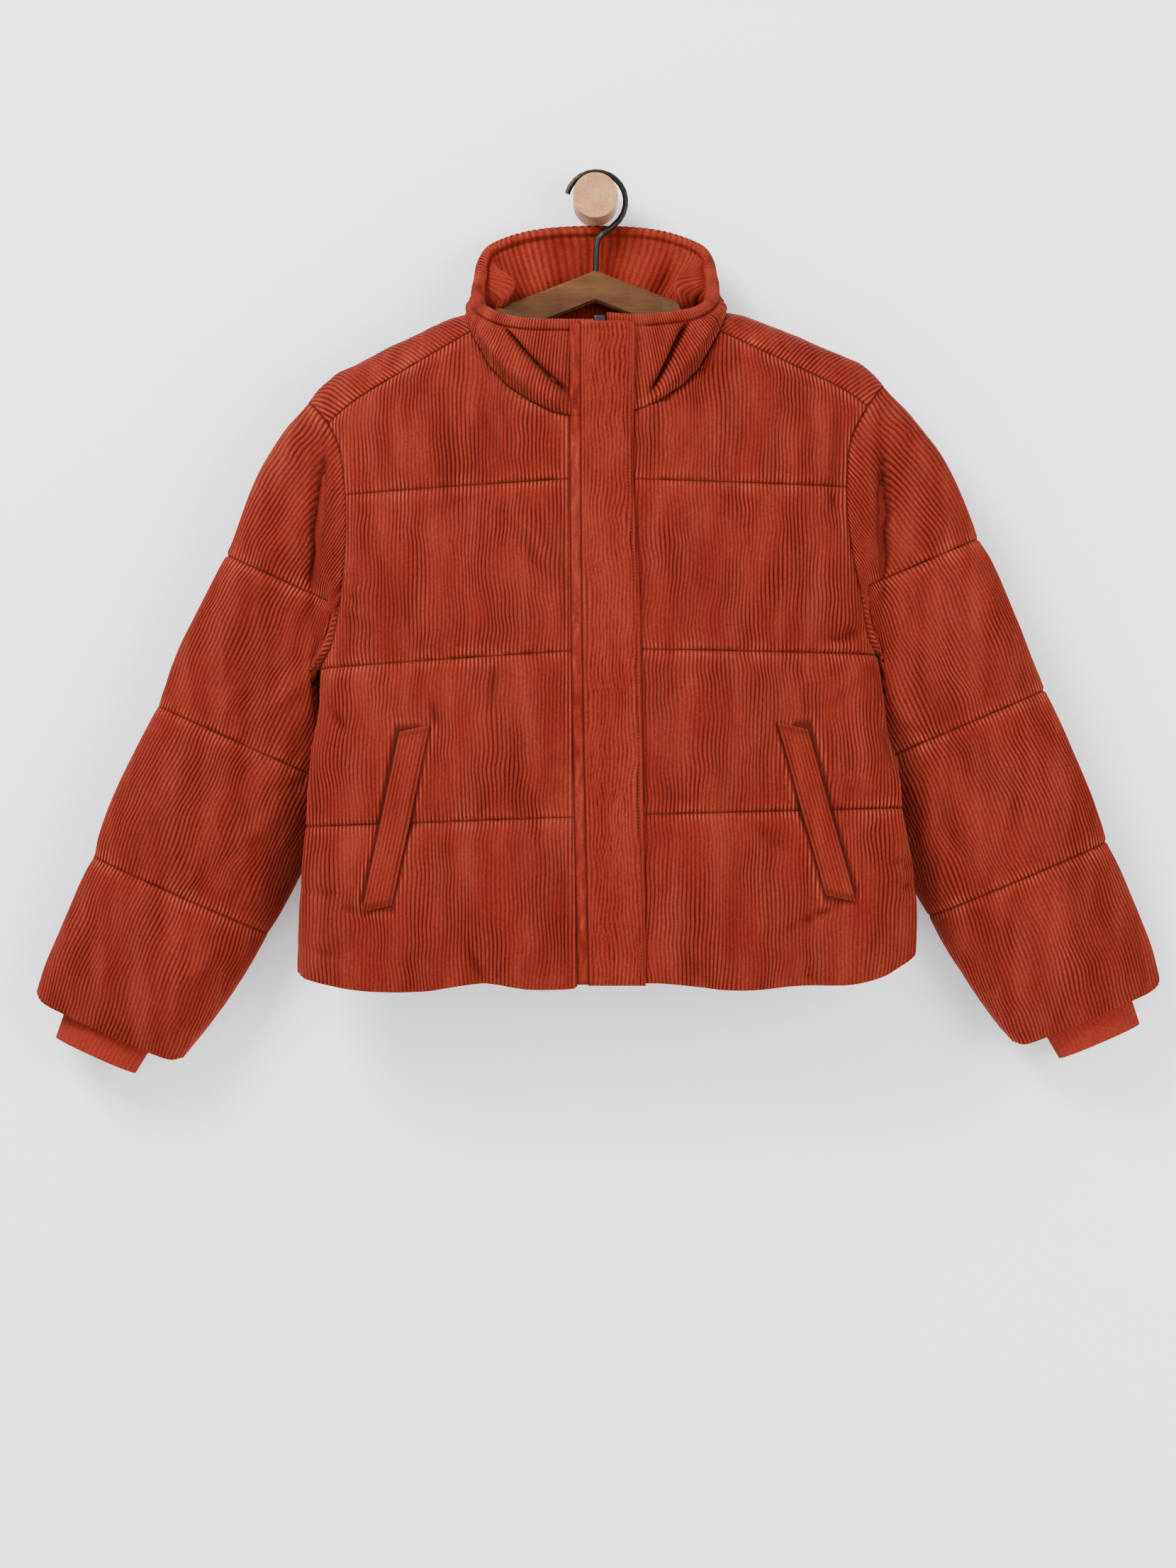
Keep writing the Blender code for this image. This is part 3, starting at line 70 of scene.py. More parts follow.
# The zip's line drifts outwards from the neck to the hem.
CENTRE = table("z x", (-120, 3), (-400, 5), (-710, 11))
FRONT_RIGHT_EDGE = -26.0  # from the zip's line to the first front's seam
FRONT_LEFT_EDGE = 8.3
FLAP = table("z right left", (-115, -17, 33), (-180, -17, 31), (-240, -17, 29), (-330, -17, 33), (-710, -17, 33))

# Each side: its shoulder line's neck end, its slope, and the forward seam's two ends, given by t along the
# shoulder line and d across it in the flat cloth.
SHOULDERS = {
    "right": dict(sign=-1, neck=(114.0, -107.0), slope=26.3, seam_neck=(4, 52), seam_end=(150, 64)),
    "left": dict(sign=1, neck=(113.8, -104.5), slope=22.3, seam_neck=(3, 54.7), seam_end=(147, 62)),
}
FOLD_R = 31.0  # radius of the shoulder's roll
DROOP_START, DROOP = 112.0, 10.0  # the shoulder falls away past the hanger's end

UNDERARM = {"right": -422.0, "left": -409.0}
# Front armholes, distance out by height, and back armholes in the flat cloth, which runs on over the shoulder.
FRONT_ARMHOLE = {
    "right": table("z out", (-422, 243), (-405, 233), (-379, 226), (-335, 220.5), (-297, 218.5), (-257, 220.5), (-221, 227), (-190, 240)),
    "left": table("z out", (-409, 246.5), (-392, 239), (-361, 233), (-327, 226), (-299, 222), (-258, 220.5), (-212, 227), (-178, 240)),
}
BACK_ARMHOLE = {
    "right": table("z out", (-422, 243), (-405, 233), (-379, 226), (-335, 220.5), (-297, 218.5), (-257, 221), (-228, 229), (-205, 241), (-161, 262), (-116, 276.5)),
    "left": table("z out", (-409, 246.5), (-392, 237), (-361, 228), (-327, 222), (-299, 219.5), (-250, 221), (-218, 230), (-192, 243), (-147, 262), (-102.9, 273.3)),
}
NECKLINE = {
    "right": table("out z", (0, -201), (24, -200), (39, -196.5), (58, -187), (78, -173), (93, -156), (104, -138)),
    "left": table("out z", (0, -197), (34, -195.5), (54, -188), (76, -173), (91, -158), (104, -140)),
}
BACK_NECK = table("out z", (0, -119), (35, -118), (70, -114), (100, -104), (123, -85))

# Quilt seams of the torso: height at the zip and at the side, from the hem up.
QUILT = {
    "right": [(-551, -560), (-406.5, -422), (-256, -269)],
    "left": [(-549.5, -543), (-404.5, -409), (-255.5, -262)],
}
BACK_QUILT = (-553.0, -410.0, -262.0)
HEM = {
    "right": table("out z", (0, -700), (60, -701), (94, -696), (150, -703), (225, -700), (250, -694), (285, -684)),
    "left": table("out z", (0, -699), (46, -696), (133, -702), (180, -698), (232, -696), (257, -688), (275, -676), (295, -664)),
}
BACK_HEM = -699.0

# Sleeves: middle of the hem, angle from the vertical, and by height along the arm the two edges across it,
# the section's depth and how far its middle stands from the wall.
SLEEVES = {
    "right": dict(hem=(435.0, -742.0), angle=24.4),
    "left": dict(hem=(439.3, -729.3), angle=23.3),
}
SLEEVE = table(
    "h outer inner depth stand",
    (0, 69, -69, 23, 37),
    (40, 71, -79, 26, 38),
    (138, 73, -94, 30, 40),
    (283, 75, -97, 29, 40),
    (429, 74, -94, 28, 42),
    (500, 71, -94, 27, 45),
    (600, 60, -94, 26, 46),
)
SLEEVE_SEAMS = (0.0, 138.0, 283.0, 429.0)
SLEEVE_POWER = 2.2
SLEEVE_PUFF = 8.0
BODY_PADDING = 3.0  # of the body at its sides, where the sleeves pass it
SLEEVE_TILT = 13.0  # the outer edge stands further from the wall than the inner one
CAP_BLEND = 130.0  # length over which the tube turns into the armhole
# Under the arm it turns sooner, and soonest towards the wall, so that it passes behind the body.
UNDERARM_HASTE = np.array([-40.0, -85.0, -40.0])

# Collar: the rim by the turn from the zip, right side, back and left side to the zip again.
COLLAR_RIM = table(
    "turn x y z",
    (0.0, -1.5, -99, -120),
    (0.06, -30, -100, -120),
    (0.13, -62, -98, -119),
    (0.2, -88, -88, -112),
    (0.27, -104, -72, -98),
    (0.34, -107, -52, -76),
    (0.41, -94, -31, -44),
    (0.455, -55, -21, -30),
    (0.5, 0, -18, -26),
    (0.545, 55, -21, -30),
    (0.59, 94, -31, -44),
    (0.66, 107, -52, -72),
    (0.73, 104, -72, -94),
    (0.8, 88, -88, -108),
    (0.87, 62, -98, -114),
    (0.94, 36, -100, -116),
    (1.0, 9.8, -99, -114),
)
COLLAR_WALL = 7.0
COLLAR_PUFF = 4.5

WIRE = 5.2
HOOK_ARC_R = 26.5
HANGER_APEX = -65.6
HANGER_SLOPE = 21.5
HANGER_TALL = 28.0
HANGER_THICK = 13.0
HANGER_Y = -36.0
HANGER_REACH = 196.0


# --- Smooth readings --------------------------------------------------------------------------------


def curve(x, xs, ys):
    """Smooth interpolation through a table's points, flat past its ends."""
    xs, ys = np.asarray(xs, float), np.asarray(ys, float)
    x = np.clip(x, xs[0], xs[-1])
    slope = np.gradient(ys, xs)
    i = np.clip(np.searchsorted(xs, x, side="right") - 1, 0, len(xs) - 2)
    step = xs[i + 1] - xs[i]
    t = (x - xs[i]) / step
    value = ys[i] * (1 + 2 * t) * (1 - t) ** 2 + ys[i + 1] * t * t * (3 - 2 * t)
    return value + step * (slope[i] * t * (1 - t) ** 2 - slope[i + 1] * t * t * (1 - t))


def smooth(t):
    t = np.clip(t, 0, 1)
    return t * t * (3 - 2 * t)


def cubic(t):
    return np.stack([-(t**3) + 2 * t**2 - t, 3 * t**3 - 5 * t**2 + 2, -3 * t**3 + 4 * t**2 + t, t**3 - t**2], -1) / 2


def sample(padded, i, j):
    """Smooth reading of a grid at fractional rows and columns. The grid has one row and column more each way."""
    rows, cols = padded.shape[0] - 2, padded.shape[1] - 2
    i, j = np.broadcast_arrays(np.clip(i, 0, rows - 1.0001), np.clip(j, 0, cols - 1.0001))
    i0, j0 = i.astype(int), j.astype(int)
    wi, wj = cubic(i - i0), cubic(j - j0)
    return sum((wi[..., a] * wj[..., b])[..., None] * padded[i0 + a, j0 + b] for a in range(4) for b in range(4))


def superellipse(power, count=361):
    """Sections of half a rounded box, one for each power."""
    angle = np.linspace(0, math.pi / 2, count)
    power = np.asarray(power, float)[..., None]
    return np.sin(angle) ** (2 / power), np.cos(angle) ** (2 / power)


class Torso:
    """Half of the torso, front or back: (out, y) by the arc length s from the middle and the height z."""

    LOW, STEP, COUNT, ACROSS = -716.0, 6.0, 112, 141

    def __init__(self, side, face):
        z = self.LOW + self.STEP * np.arange(self.COUNT)
        power = np.full(len(z), FRONT_POWER) if face == "front" else curve(z, TORSO["z"], TORSO["round"])
        across, deep = superellipse(power)
        width, middle, edge = (curve(z, TORSO["z"], TORSO[key]) for key in (side, face, "side"))
        out = width[:, None] * across
        y = edge[:, None] + (middle - edge)[:, None] * deep
        steps = np.hypot(np.diff(out), np.diff(y))
        arc = np.concatenate([np.zeros((len(z), 1)), np.cumsum(steps, axis=1)], axis=1)
        self.z, self.width = z, arc[:, -1]
        even = np.linspace(0, 1, self.ACROSS)
        rows = [[np.interp(even, a / a[-1], values) for values in pair] for a, *pair in zip(arc, out, y)]
        self.grid = np.pad(np.moveaxis(np.array(rows), 1, 2), ((1, 1), (1, 1), (0, 0)), "reflect", reflect_type="odd")

    def half(self, z):
        return np.interp(z, self.z, self.width)

    def at(self, s, z):
        share = np.asarray(s) / self.half(z)
        found = sample(self.grid, (z - self.LOW) / self.STEP, share * (self.ACROSS - 1))
        return found[..., 0], found[..., 1]

    def arc_to(self, out, z):
        """The arc length at which the section at z reaches a distance out."""
        low, high = np.zeros(np.broadcast(out, z).shape), self.half(z) + 0.0 * out
        for _ in range(30):
            middle = (low + high) / 2
            short = self.at(middle, z)[0] < out
            low, high = np.where(short, middle, low), np.where(short, high, middle)
        return (low + high) / 2


def shoulder_frame(side):
    shape = SHOULDERS[side]
    slope = math.radians(shape["slope"])
    return shape["neck"], math.cos(slope), math.sin(slope)


def shoulder_roll(side, out, z, y_back):
    """Carries the flat cloth of the back over the shoulder line: (out, y, z) of points of the flat cloth."""
    (neck_out, neck_z), c, s = shoulder_frame(side)
    t = (out - neck_out) * c - (z - neck_z) * s
    d = (out - neck_out) * s + (z - neck_z) * c
    turn = np.clip((d + FOLD_R) / FOLD_R, 0, math.pi) - math.pi / 2
    past = np.maximum(d + FOLD_R - math.pi * FOLD_R, 0)
    rise = np.where(d > -FOLD_R, FOLD_R * (np.cos(turn) - 1) - past, d)
    forward = (1 + np.sin(turn)) / 2
    y_front = -76.0 + 4.0 * smooth((t - 60) / 100)
    droop = DROOP * np.clip((t - DROOP_START) / 46, 0, 1.6) ** 2 * smooth((d + 110) / 80)
    return neck_out + t * c + rise * s, y_back + (y_front - y_back) * forward, neck_z - t * s + rise * c - droop


def flat_of(side, t, d):
    (neck_out, neck_z), c, s = shoulder_frame(side)
    return neck_out + t * c + d * s, neck_z - t * s + d * c


FRONTS = {side: Torso(side, "front") for side in SHOULDERS}
BACKS = {side: Torso(side, "back") for side in SHOULDERS}


def forward_seam(side, share):
    """Points of the forward shoulder seam in the back's flat cloth, from the neck out."""
    (t0, d0), (t1, d1) = SHOULDERS[side]["seam_neck"], SHOULDERS[side]["seam_end"]
    return flat_of(side, t0 + (t1 - t0) * share, d0 + (d1 - d0) * share)


def back_point(side, s, z):
    out, y = BACKS[side].at(s, z)
    out, y, z = shoulder_roll(side, out, z, y)
    return np.stack([SHOULDERS[side]["sign"] * out, y, z], -1)


def seam_line(side):
    """The forward seam as it hangs: heights and depths by the distance out."""
    s, z = forward_seam(side, np.linspace(0, 1, 41))
    point = back_point(side, s, z)
    return np.abs(point[:, 0]), point[:, 1], point[:, 2]


SEAMS = {side: seam_line(side) for side in SHOULDERS}


def front_top(side, out):
    """Height of a front's upper edge: the neckline, then the forward seam."""
    seam_out, _, seam_z = SEAMS[side]
    xs = np.concatenate([NECKLINE[side]["out"][:-1], seam_out])
    zs = np.concatenate([NECKLINE[side]["z"][:-1], seam_z])
    return np.interp(out, xs, zs)


def channel(place):
    """Height of the filling over a channel, from seam to seam: steep at the seams and broad between."""
    return np.clip(1 - np.abs(2 * np.clip(place, 0, 1) - 1) ** 2.6, 0, 1) ** 0.75


def rise_from(distance, reach=EDGE_RISE):
    return np.clip(1 - (1 - np.clip(distance / reach, 0, 1)) ** 2, 0, 1)


def centre(z):
    return curve(z, CENTRE["z"], CENTRE["x"])


def front_edge(side, z):
    """Arc length at which a front starts, beside the zip."""
    return -(centre(z) + FRONT_RIGHT_EDGE) if side == "right" else centre(z) + FRONT_LEFT_EDGE


def front_outer(side, z):
    """Arc length at which a front ends: the side seam, then the armhole up to the forward seam's end."""
    torso, hole = FRONTS[side], FRONT_ARMHOLE[side]
    seam_out, _, seam_z = SEAMS[side]
    out = curve(z, np.append(hole["z"][:-1], seam_z[-1]), np.append(hole["out"][:-1], seam_out[-1]))
    return np.where(z <= UNDERARM[side], torso.half(z), torso.arc_to(np.minimum(out, torso.at(torso.half(z), z)[0]), z))


def back_outer(side, z):
    torso, hole = BACKS[side], BACK_ARMHOLE[side]
    out = curve(z, hole["z"], hole["out"])
    return np.where(z <= UNDERARM[side], torso.half(z), torso.arc_to(np.minimum(out, torso.at(torso.half(z), z)[0]), z))


def back_top(side, s):
    """Height of the back's upper edge in the flat cloth: the neck, then the forward seams."""
    seam_s, seam_z = forward_seam(side, np.linspace(0, 1, 21))
    xs = np.concatenate([BACK_NECK["out"], seam_s])
    zs = np.concatenate([BACK_NECK["z"], seam_z])
    return np.interp(s, xs, zs)


def section_half(count=241):
    """Half a sleeve's section, from its inner edge over the front to its outer edge: (across, deep) by share."""
    angle = np.linspace(0, math.pi, count)
    across, deep = -np.cos(angle), np.sin(angle)
    across = np.sign(across) * np.abs(across) ** (2 / SLEEVE_POWER)
    deep = deep ** (2 / SLEEVE_POWER)
    arc = np.concatenate([[0], np.cumsum(np.hypot(np.diff(across) * 86, np.diff(deep) * 30))])
    share = np.linspace(0, 1, 201)
    return share, np.interp(share, arc / arc[-1], across), np.interp(share, arc / arc[-1], deep)


SECTION = section_half()


def sleeve_tube(side, turn, h):
    """The sleeve without its cap. turn runs 0 to 1 from the inner edge over the front and round the back."""
    half = np.where(turn <= 0.5, turn * 2, 2 - turn * 2)
    across = np.interp(half, SECTION[0], SECTION[1])
    deep = np.interp(half, SECTION[0], SECTION[2]) * np.where(turn <= 0.5, -1, 1)
    outer, inner, depth, stand = (curve(h, SLEEVE["h"], SLEEVE[key]) for key in ("outer", "inner", "depth", "stand"))
    c = (outer + inner) / 2 + across * (outer - inner) / 2
    y = -stand - SLEEVE_TILT * across * smooth((h - 20) / 180) + deep * depth
    (hem_out, hem_z), angle = SLEEVES[side]["hem"], math.radians(SLEEVES[side]["angle"])
    out = hem_out - h * math.sin(angle) + c * math.cos(angle)
    z = hem_z + h * math.cos(angle) + c * math.sin(angle)
    return np.stack([SHOULDERS[side]["sign"] * out, y + 0 * out, z], -1)


def arm_height(side, point):
    """Height along the arm of a point."""
    (hem_out, hem_z), angle = SLEEVES[side]["hem"], math.radians(SLEEVES[side]["angle"])
    out = SHOULDERS[side]["sign"] * point[..., 0]
    return -(out - hem_out) * math.sin(angle) + (point[..., 2] - hem_z) * math.cos(angle)


def body_reach(side, y, z):
    """Distance out of the padded body at a depth and a height, up to the armhole's edge above the underarm."""
    hole = FRONT_ARMHOLE[side]
    width, edge, front, back = (curve(z, TORSO["z"], TORSO[key]) for key in (side, "side", "front", "back"))
    power = np.where(y < edge, FRONT_POWER, curve(z, TORSO["z"], TORSO["round"]))
    deep = np.where(y < edge, (edge - y) / (edge - front + PUFF), (y - edge) / (back - edge + PUFF))
    padding = BODY_PADDING + PUFF * rise_from(np.abs(y - edge))
    reach = (width + padding) * (1 - np.clip(deep, 0, 1) ** power) ** (1 / power)
    return np.where(z > UNDERARM[side], np.minimum(reach, curve(z - 6, hole["z"], hole["out"])), reach)


def keep_off_body(side, points, below_hole, clear):
    """Moves a sleeve's points out to where they clear the body, more so further below the armhole."""
    sign, y, z = SHOULDERS[side]["sign"], points[..., 1], points[..., 2]
    reach = body_reach(side, y, z) + clear * smooth(below_hole / 2)
    push = np.maximum(reach - sign * points[..., 0], 0)
    push = push * smooth((UNDERARM[side] + 60 - z) / 20) * smooth(below_hole / 2)
    moved = points.copy()
    moved[..., 0] += sign * push
    return moved


WELTS = {
    # Slanted welts: upper and lower middles (out, z) and their width.
    "right": dict(high=(157.0, -474.0), low=(190.0, -631.0), width=27.0),
    "left": dict(high=(171.0, -472.0), low=(213.0, -622.0), width=27.0),
}


FLAP_SNAPS = (-184.0, -262.0, -340.0, -462.0, -562.0, -655.0)  # heights of the hidden snaps, which dimple it


# --- Folds ---------------------------------------------------------------------------------------------

FOLD_DEPTH = 1.9
FOLD_NAMES = "out z length width turn height"
# Folds as they hang: middle, half length, half width, degrees from level going out, and height.
FRONT_FOLDS = {
    "right": table(
        FOLD_NAMES,
        (168, -215, 45, 6, 88, 2.4), (133, -212, 50, 7, 86, 2.4), (81, -211, 36, 7, 78, 3.2),
        (92, -214, 34, 6, 78, -2.4), (41, -325, 32, 6, 55, 3.2), (48, -331, 30, 5, 55, -2.6),
        (32, -369, 14, 4, 12, 2.4), (34, -520, 14, 4, 20, 2.2), (33, -497, 12, 4, -10, 2.0),
        (212, -352, 14, 4, 20, 2.5), (209, -372, 14, 4, 25, 2.5), (215, -335, 12, 4, 10, 2.2),
        (224, -468, 14, 4, 49, -3.4), (139, -462, 16, 4, 78, -3.0), (88, -437, 28, 4, 88, -3.0),
        (150, -561, 12, 4, 65, -2.4), (216, -629, 16, 4, 14, -3.0), (235, -617, 18, 4, 5, -2.4),
        (235, -669, 18, 5, 5, -2.6), (104, -681, 19, 5, 63, -3.2), (84, -689, 9, 4, 56, -2.2),
        (60, -300, 24, 7, 62, 2.0), (170, -300, 30, 9, 80, 1.8), (120, -520, 34, 9, 70, 1.8),
        (150, -660, 22, 7, 80, 1.8), (190, -200, 24, 6, 70, 2.0), (45, -600, 26, 7, 60, 2.0),
    ),
    "left": table(
        FOLD_NAMES,
        (110, -157, 20, 4, 15, -2.4), (73, -226, 20, 5, 49, 2.6), (95, -215, 16, 4, 49, 2.2),
        (202, -236, 25, 6, 85, 3.0), (209, -273, 15, 4, -51, -3.4), (46, -375, 29, 5, -76, -3.0),
        (218, -393, 18, 5, 15, -3.4), (143, -455, 26, 6, -69, 3.0), (50, -495, 9, 4, -35, 2.4),
        (152, -569, 20, 5, -26, -3.0), (193, -636, 31, 4, 26, -3.4), (222, -520, 28, 5, -18, 3.0),
        (254, -488, 24, 5, -72, -3.0), (262, -592, 16, 4, -10, -2.4), (262, -612, 16, 4, 8, -2.4),
        (87, -684, 12, 4, -69, -2.4), (188, -690, 9, 4, -45, -2.4), (60, -300, 26, 7, -62, 2.2),
        (165, -320, 30, 8, -80, 2.0), (110, -350, 30, 8, 74, 1.8), (60, -440, 22, 6, 66, 2.2),
        (210, -440, 24, 6, 40, 2.2), (110, -640, 28, 8, -70, 2.0), (235, -560, 20, 6, 30, 2.0),
    ),
}
SLEEVE_FOLDS = {
    "right": table(
        FOLD_NAMES,
        (243, -303, 54, 9, -84, -3.0), (233, -225, 18, 5, -82, 3.0), (243, -288, 60, 3.4, -85, -7.5), (246, -420, 55, 7, 88, -3.0),
        (290, -330, 40, 8, -60, 2.4), (270, -440, 30, 7, -45, 2.4), (330, -470, 36, 8, -72, 2.2),
        (300, -560, 26, 6, -30, 2.4), (360, -600, 34, 8, -66, 2.2), (400, -560, 30, 7, -70, 2.0),
        (350, -680, 24, 6, -40, 2.4), (430, -690, 26, 7, -64, 2.0), (260, -520, 20, 5, -20, -2.6),
    ),
    "left": table(
        FOLD_NAMES,
        (252, -296, 54, 9, 90, -3.0), (252, -290, 58, 3.4, 90, -7.5), (252, -404, 12, 5, -60, -3.0), (281, -363, 30, 6, -77, 2.6),
        (312, -555, 49, 9, -77, -3.0), (328, -692, 10, 6, 60, -2.4), (330, -400, 34, 8, -58, 2.2),
        (290, -470, 26, 6, -30, 2.4), (370, -520, 34, 8, -70, 2.2), (350, -640, 24, 6, -36, 2.4),
        (420, -620, 30, 8, -66, 2.2), (430, -700, 22, 6, -60, 2.0), (275, -540, 18, 5, -24, -2.6),
    ),
}


def scattered_folds(seed, wide, low, high, count):
    """Folds for a side that the photo hides, spread and turned as those that show."""
    pick = np.random.default_rng(seed)
    rows = [
        (
            pick.uniform(-wide, wide), pick.uniform(low, high), pick.uniform(14, 44), pick.uniform(4, 8),
            pick.choice([-1, 1]) * pick.uniform(10, 88), pick.choice([-1, 1]) * pick.uniform(1.8, 3.2),
        )
        for _ in range(count)
    ]
    return table(FOLD_NAMES, *rows)


BACK_FOLDS = scattered_folds(7, 225, -690, -150, 44)


def folds(rows, out, z):
    total = np.zeros(np.broadcast(out, z).shape)
    for at_out, at_z, length, width, turn, height in zip(*(rows[key] for key in FOLD_NAMES.split())):
        c, s = math.cos(math.radians(turn)), math.sin(math.radians(turn))
        along = (out - at_out) * c + (z - at_z) * s
        across = -(out - at_out) * s + (z - at_z) * c
        total += FOLD_DEPTH * height * np.exp(-((along / length) ** 2) - (across / width) ** 2)
    return total


class Ripple:
    """Smooth uneven heights over a plane, from -1 to 1, the same each run."""

    def __init__(self, seed, size=64):
        self.size = size
        values = np.random.default_rng(seed).uniform(-1, 1, (size, size))
        self.grid = np.pad(values, ((1, 2), (1, 2)), "wrap")[..., None]

    def __call__(self, x, y):
        x, y = np.broadcast_arrays(np.mod(x, self.size), np.mod(y, self.size))
        i0, j0 = x.astype(int), y.astype(int)
        wi, wj = cubic(x - i0), cubic(y - j0)
        return sum(wi[..., a] * wj[..., b] * self.grid[i0 + a, j0 + b, 0] for a in range(4) for b in range(4))


PUCKERS, SOFT = Ripple(3), Ripple(11)


def relief(width, height, seam_distance, seed, soft=1.0, least=0.45):
    """Height of the wales, the puckers beside a seam and the long soft folds, and the tone that the colour ramp reads:
    how far the nap stands up, low in the wales' valleys, where the dark is partly the short nap and partly painted
    shade, and raised on the ridges beside a seam as a painted highlight.
    """
    ridge = np.abs(np.sin(np.pi * width / WALE)) ** 0.7
    stand = 0.5 + 0.5 * SOFT(width / 13, seed + 3 + height / 70)
    show = least + (1 - least) * smooth(0.55 + 0.9 * SOFT(width / 17 + 8, seed + height / 36))
    show = np.maximum(show, np.exp(-seam_distance / 14))
    wale = WALE_HEIGHT * (0.3 + 0.9 * show) * (ridge - 0.5) * smooth(seam_distance / 2.0)
    pucker = PUCKERS(width / 5.2, seed + height / 40) + 0.8 * PUCKERS(width / 12.0, seed + 20 + height / 70)
    pucker = 1.5 * pucker * np.exp(-seam_distance / 12) * smooth(seam_distance / 3.0)
    streak = 0.8 * SOFT(width / 8.5, seed + 7 + height / 62) + 1.3 * soft * SOFT(width / 24, seed + height / 48)
    # Low in the valleys between the ridges, which the ramp paints dark: partly the short nap, partly painted shade.
    pile_and_painted_light = (0.64 + (0.86 * ridge - 0.64) * show) * (0.82 + 0.18 * stand)
    # Painted highlight on the ridges beside a seam.
    pile_and_painted_light = pile_and_painted_light + 0.16 * ridge * np.exp(-(((seam_distance - 4) / 6) ** 2))
    return wale + pucker + streak * smooth(seam_distance / 22), pile_and_painted_light


def sway(width, height, edge_distance):
    """How far a wale wanders sideways between the seams."""
    wander = 2.6 * SOFT(5 + width / 34, height / 42) + 1.3 * SOFT(2 + width / 16, 8 + height / 15)
    return wander * smooth(edge_distance / 24)


# --- Cloth meshes --------------------------------------------------------------------------------------

NEAR_SEAM = np.array([0.9, 2.3, 4.6, 8.0, 12.5])
ROW = 5.6


def row_places(lengths, near=NEAR_SEAM, step=ROW):
    """Places of rows between seams: a whole number for each seam, close rows beside it, even ones between."""
    places = []
    for level, length in enumerate(lengths):
        inside = np.linspace(near[-1], length - near[-1], max(2, round((length - 2 * near[-1]) / step)))[1:-1]
        offsets = np.concatenate([[0], near, inside, length - near[::-1]])
        places += list(level + offsets / length)
    return np.array(places + [float(len(lengths))])


def between(places, levels):
    low = np.minimum(places.astype(int), len(levels) - 2)
    share = (places - low)[:, None]
    return levels[low] * (1 - share) + levels[low + 1] * share


def clipped(columns, rows, low, high):
    """A grid whose columns are threads at constant widths, cut off at its two edges.

    Gives each point's width, height and row, then the faces and the border with a place for each of its points."""
    count = len(rows)
    edges = []
    for edge in (low, high):
        at = edge(rows.mean(axis=1))
        for _ in range(12):
            at = edge(np.array([np.interp(w, columns, row) for w, row in zip(at, rows)]))
        edges.append(at)
    near = 0.3 * (columns[1] - columns[0])
    inside = (columns > edges[0][:, None] + near) & (columns < edges[1][:, None] - near)
    total = int(inside.sum())
    low_id, high_id = total + np.arange(count), total + count + np.arange(count)
    before = columns[None] <= edges[0][:, None] + near
    index = np.where(before, low_id[:, None], high_id[:, None])
    index[inside] = np.arange(total)
    index = np.concatenate([low_id[:, None], index, high_id[:, None]], axis=1)
    height = [np.array([np.interp(w, columns, row) for w, row in zip(at, rows)]) for at in edges]
    w = np.concatenate([np.broadcast_to(columns, rows.shape)[inside], *edges])
    z = np.concatenate([rows[inside], *height])
    row = np.concatenate([np.broadcast_to(np.arange(count)[:, None], rows.shape)[inside], np.arange(count), np.arange(count)])
    quads = np.stack([index[:-1, :-1], index[:-1, 1:], index[1:, 1:], index[1:, :-1]], -1).reshape(-1, 4)
    bottom, top = np.unique(index[0]), np.unique(index[-1])
    bottom, top = bottom[np.argsort(w[bottom])], top[np.argsort(-w[top])]
    share = np.linspace(0, 1, count)
    span = edges[1] - edges[0]
    ring = np.concatenate([bottom[:-1], high_id[:-1], top[:-1], low_id[::-1]])
    places = np.concatenate([
        (w[bottom[:-1]] - edges[0][0]) / span[0],
        1 + share[:-1],
        2 + (edges[1][-1] - w[top[:-1]]) / span[-1],
        3 + share,
    ])
    return dict(w=w, z=z, row=row, quads=quads, ring=ring, places=places)


def triangles(quads):
    """Quads, and triangles where a quad's corners meet."""
    full = quads[(quads[:, 0] != quads[:, 1]) & (quads[:, 1] != quads[:, 2]) & (quads[:, 2] != quads[:, 3]) & (quads[:, 3] != quads[:, 0])]
    rest = quads[~((quads[:, 0] != quads[:, 1]) & (quads[:, 1] != quads[:, 2]) & (quads[:, 2] != quads[:, 3]) & (quads[:, 3] != quads[:, 0]))]
    halves = np.concatenate([rest[:, [0, 1, 2]], rest[:, [0, 2, 3]]])
    good = (halves[:, 0] != halves[:, 1]) & (halves[:, 1] != halves[:, 2]) & (halves[:, 2] != halves[:, 0])
    return full.tolist() + halves[good].tolist()


def zip_edges(a, at_a, b, at_b):
    """Triangles between two rows of points with unlike spacing."""
    faces, i, j = [], 0, 0
    while i < len(a) - 1 or j < len(b) - 1:
        if j == len(b) - 1 or (i < len(a) - 1 and at_a[i + 1] <= at_b[j + 1]):
            faces.append((a[i], a[i + 1], b[j]))
            i += 1
        else:
            faces.append((a[i], b[j + 1], b[j]))
            j += 1
    return [face for face in faces if len(set(face)) == 3]


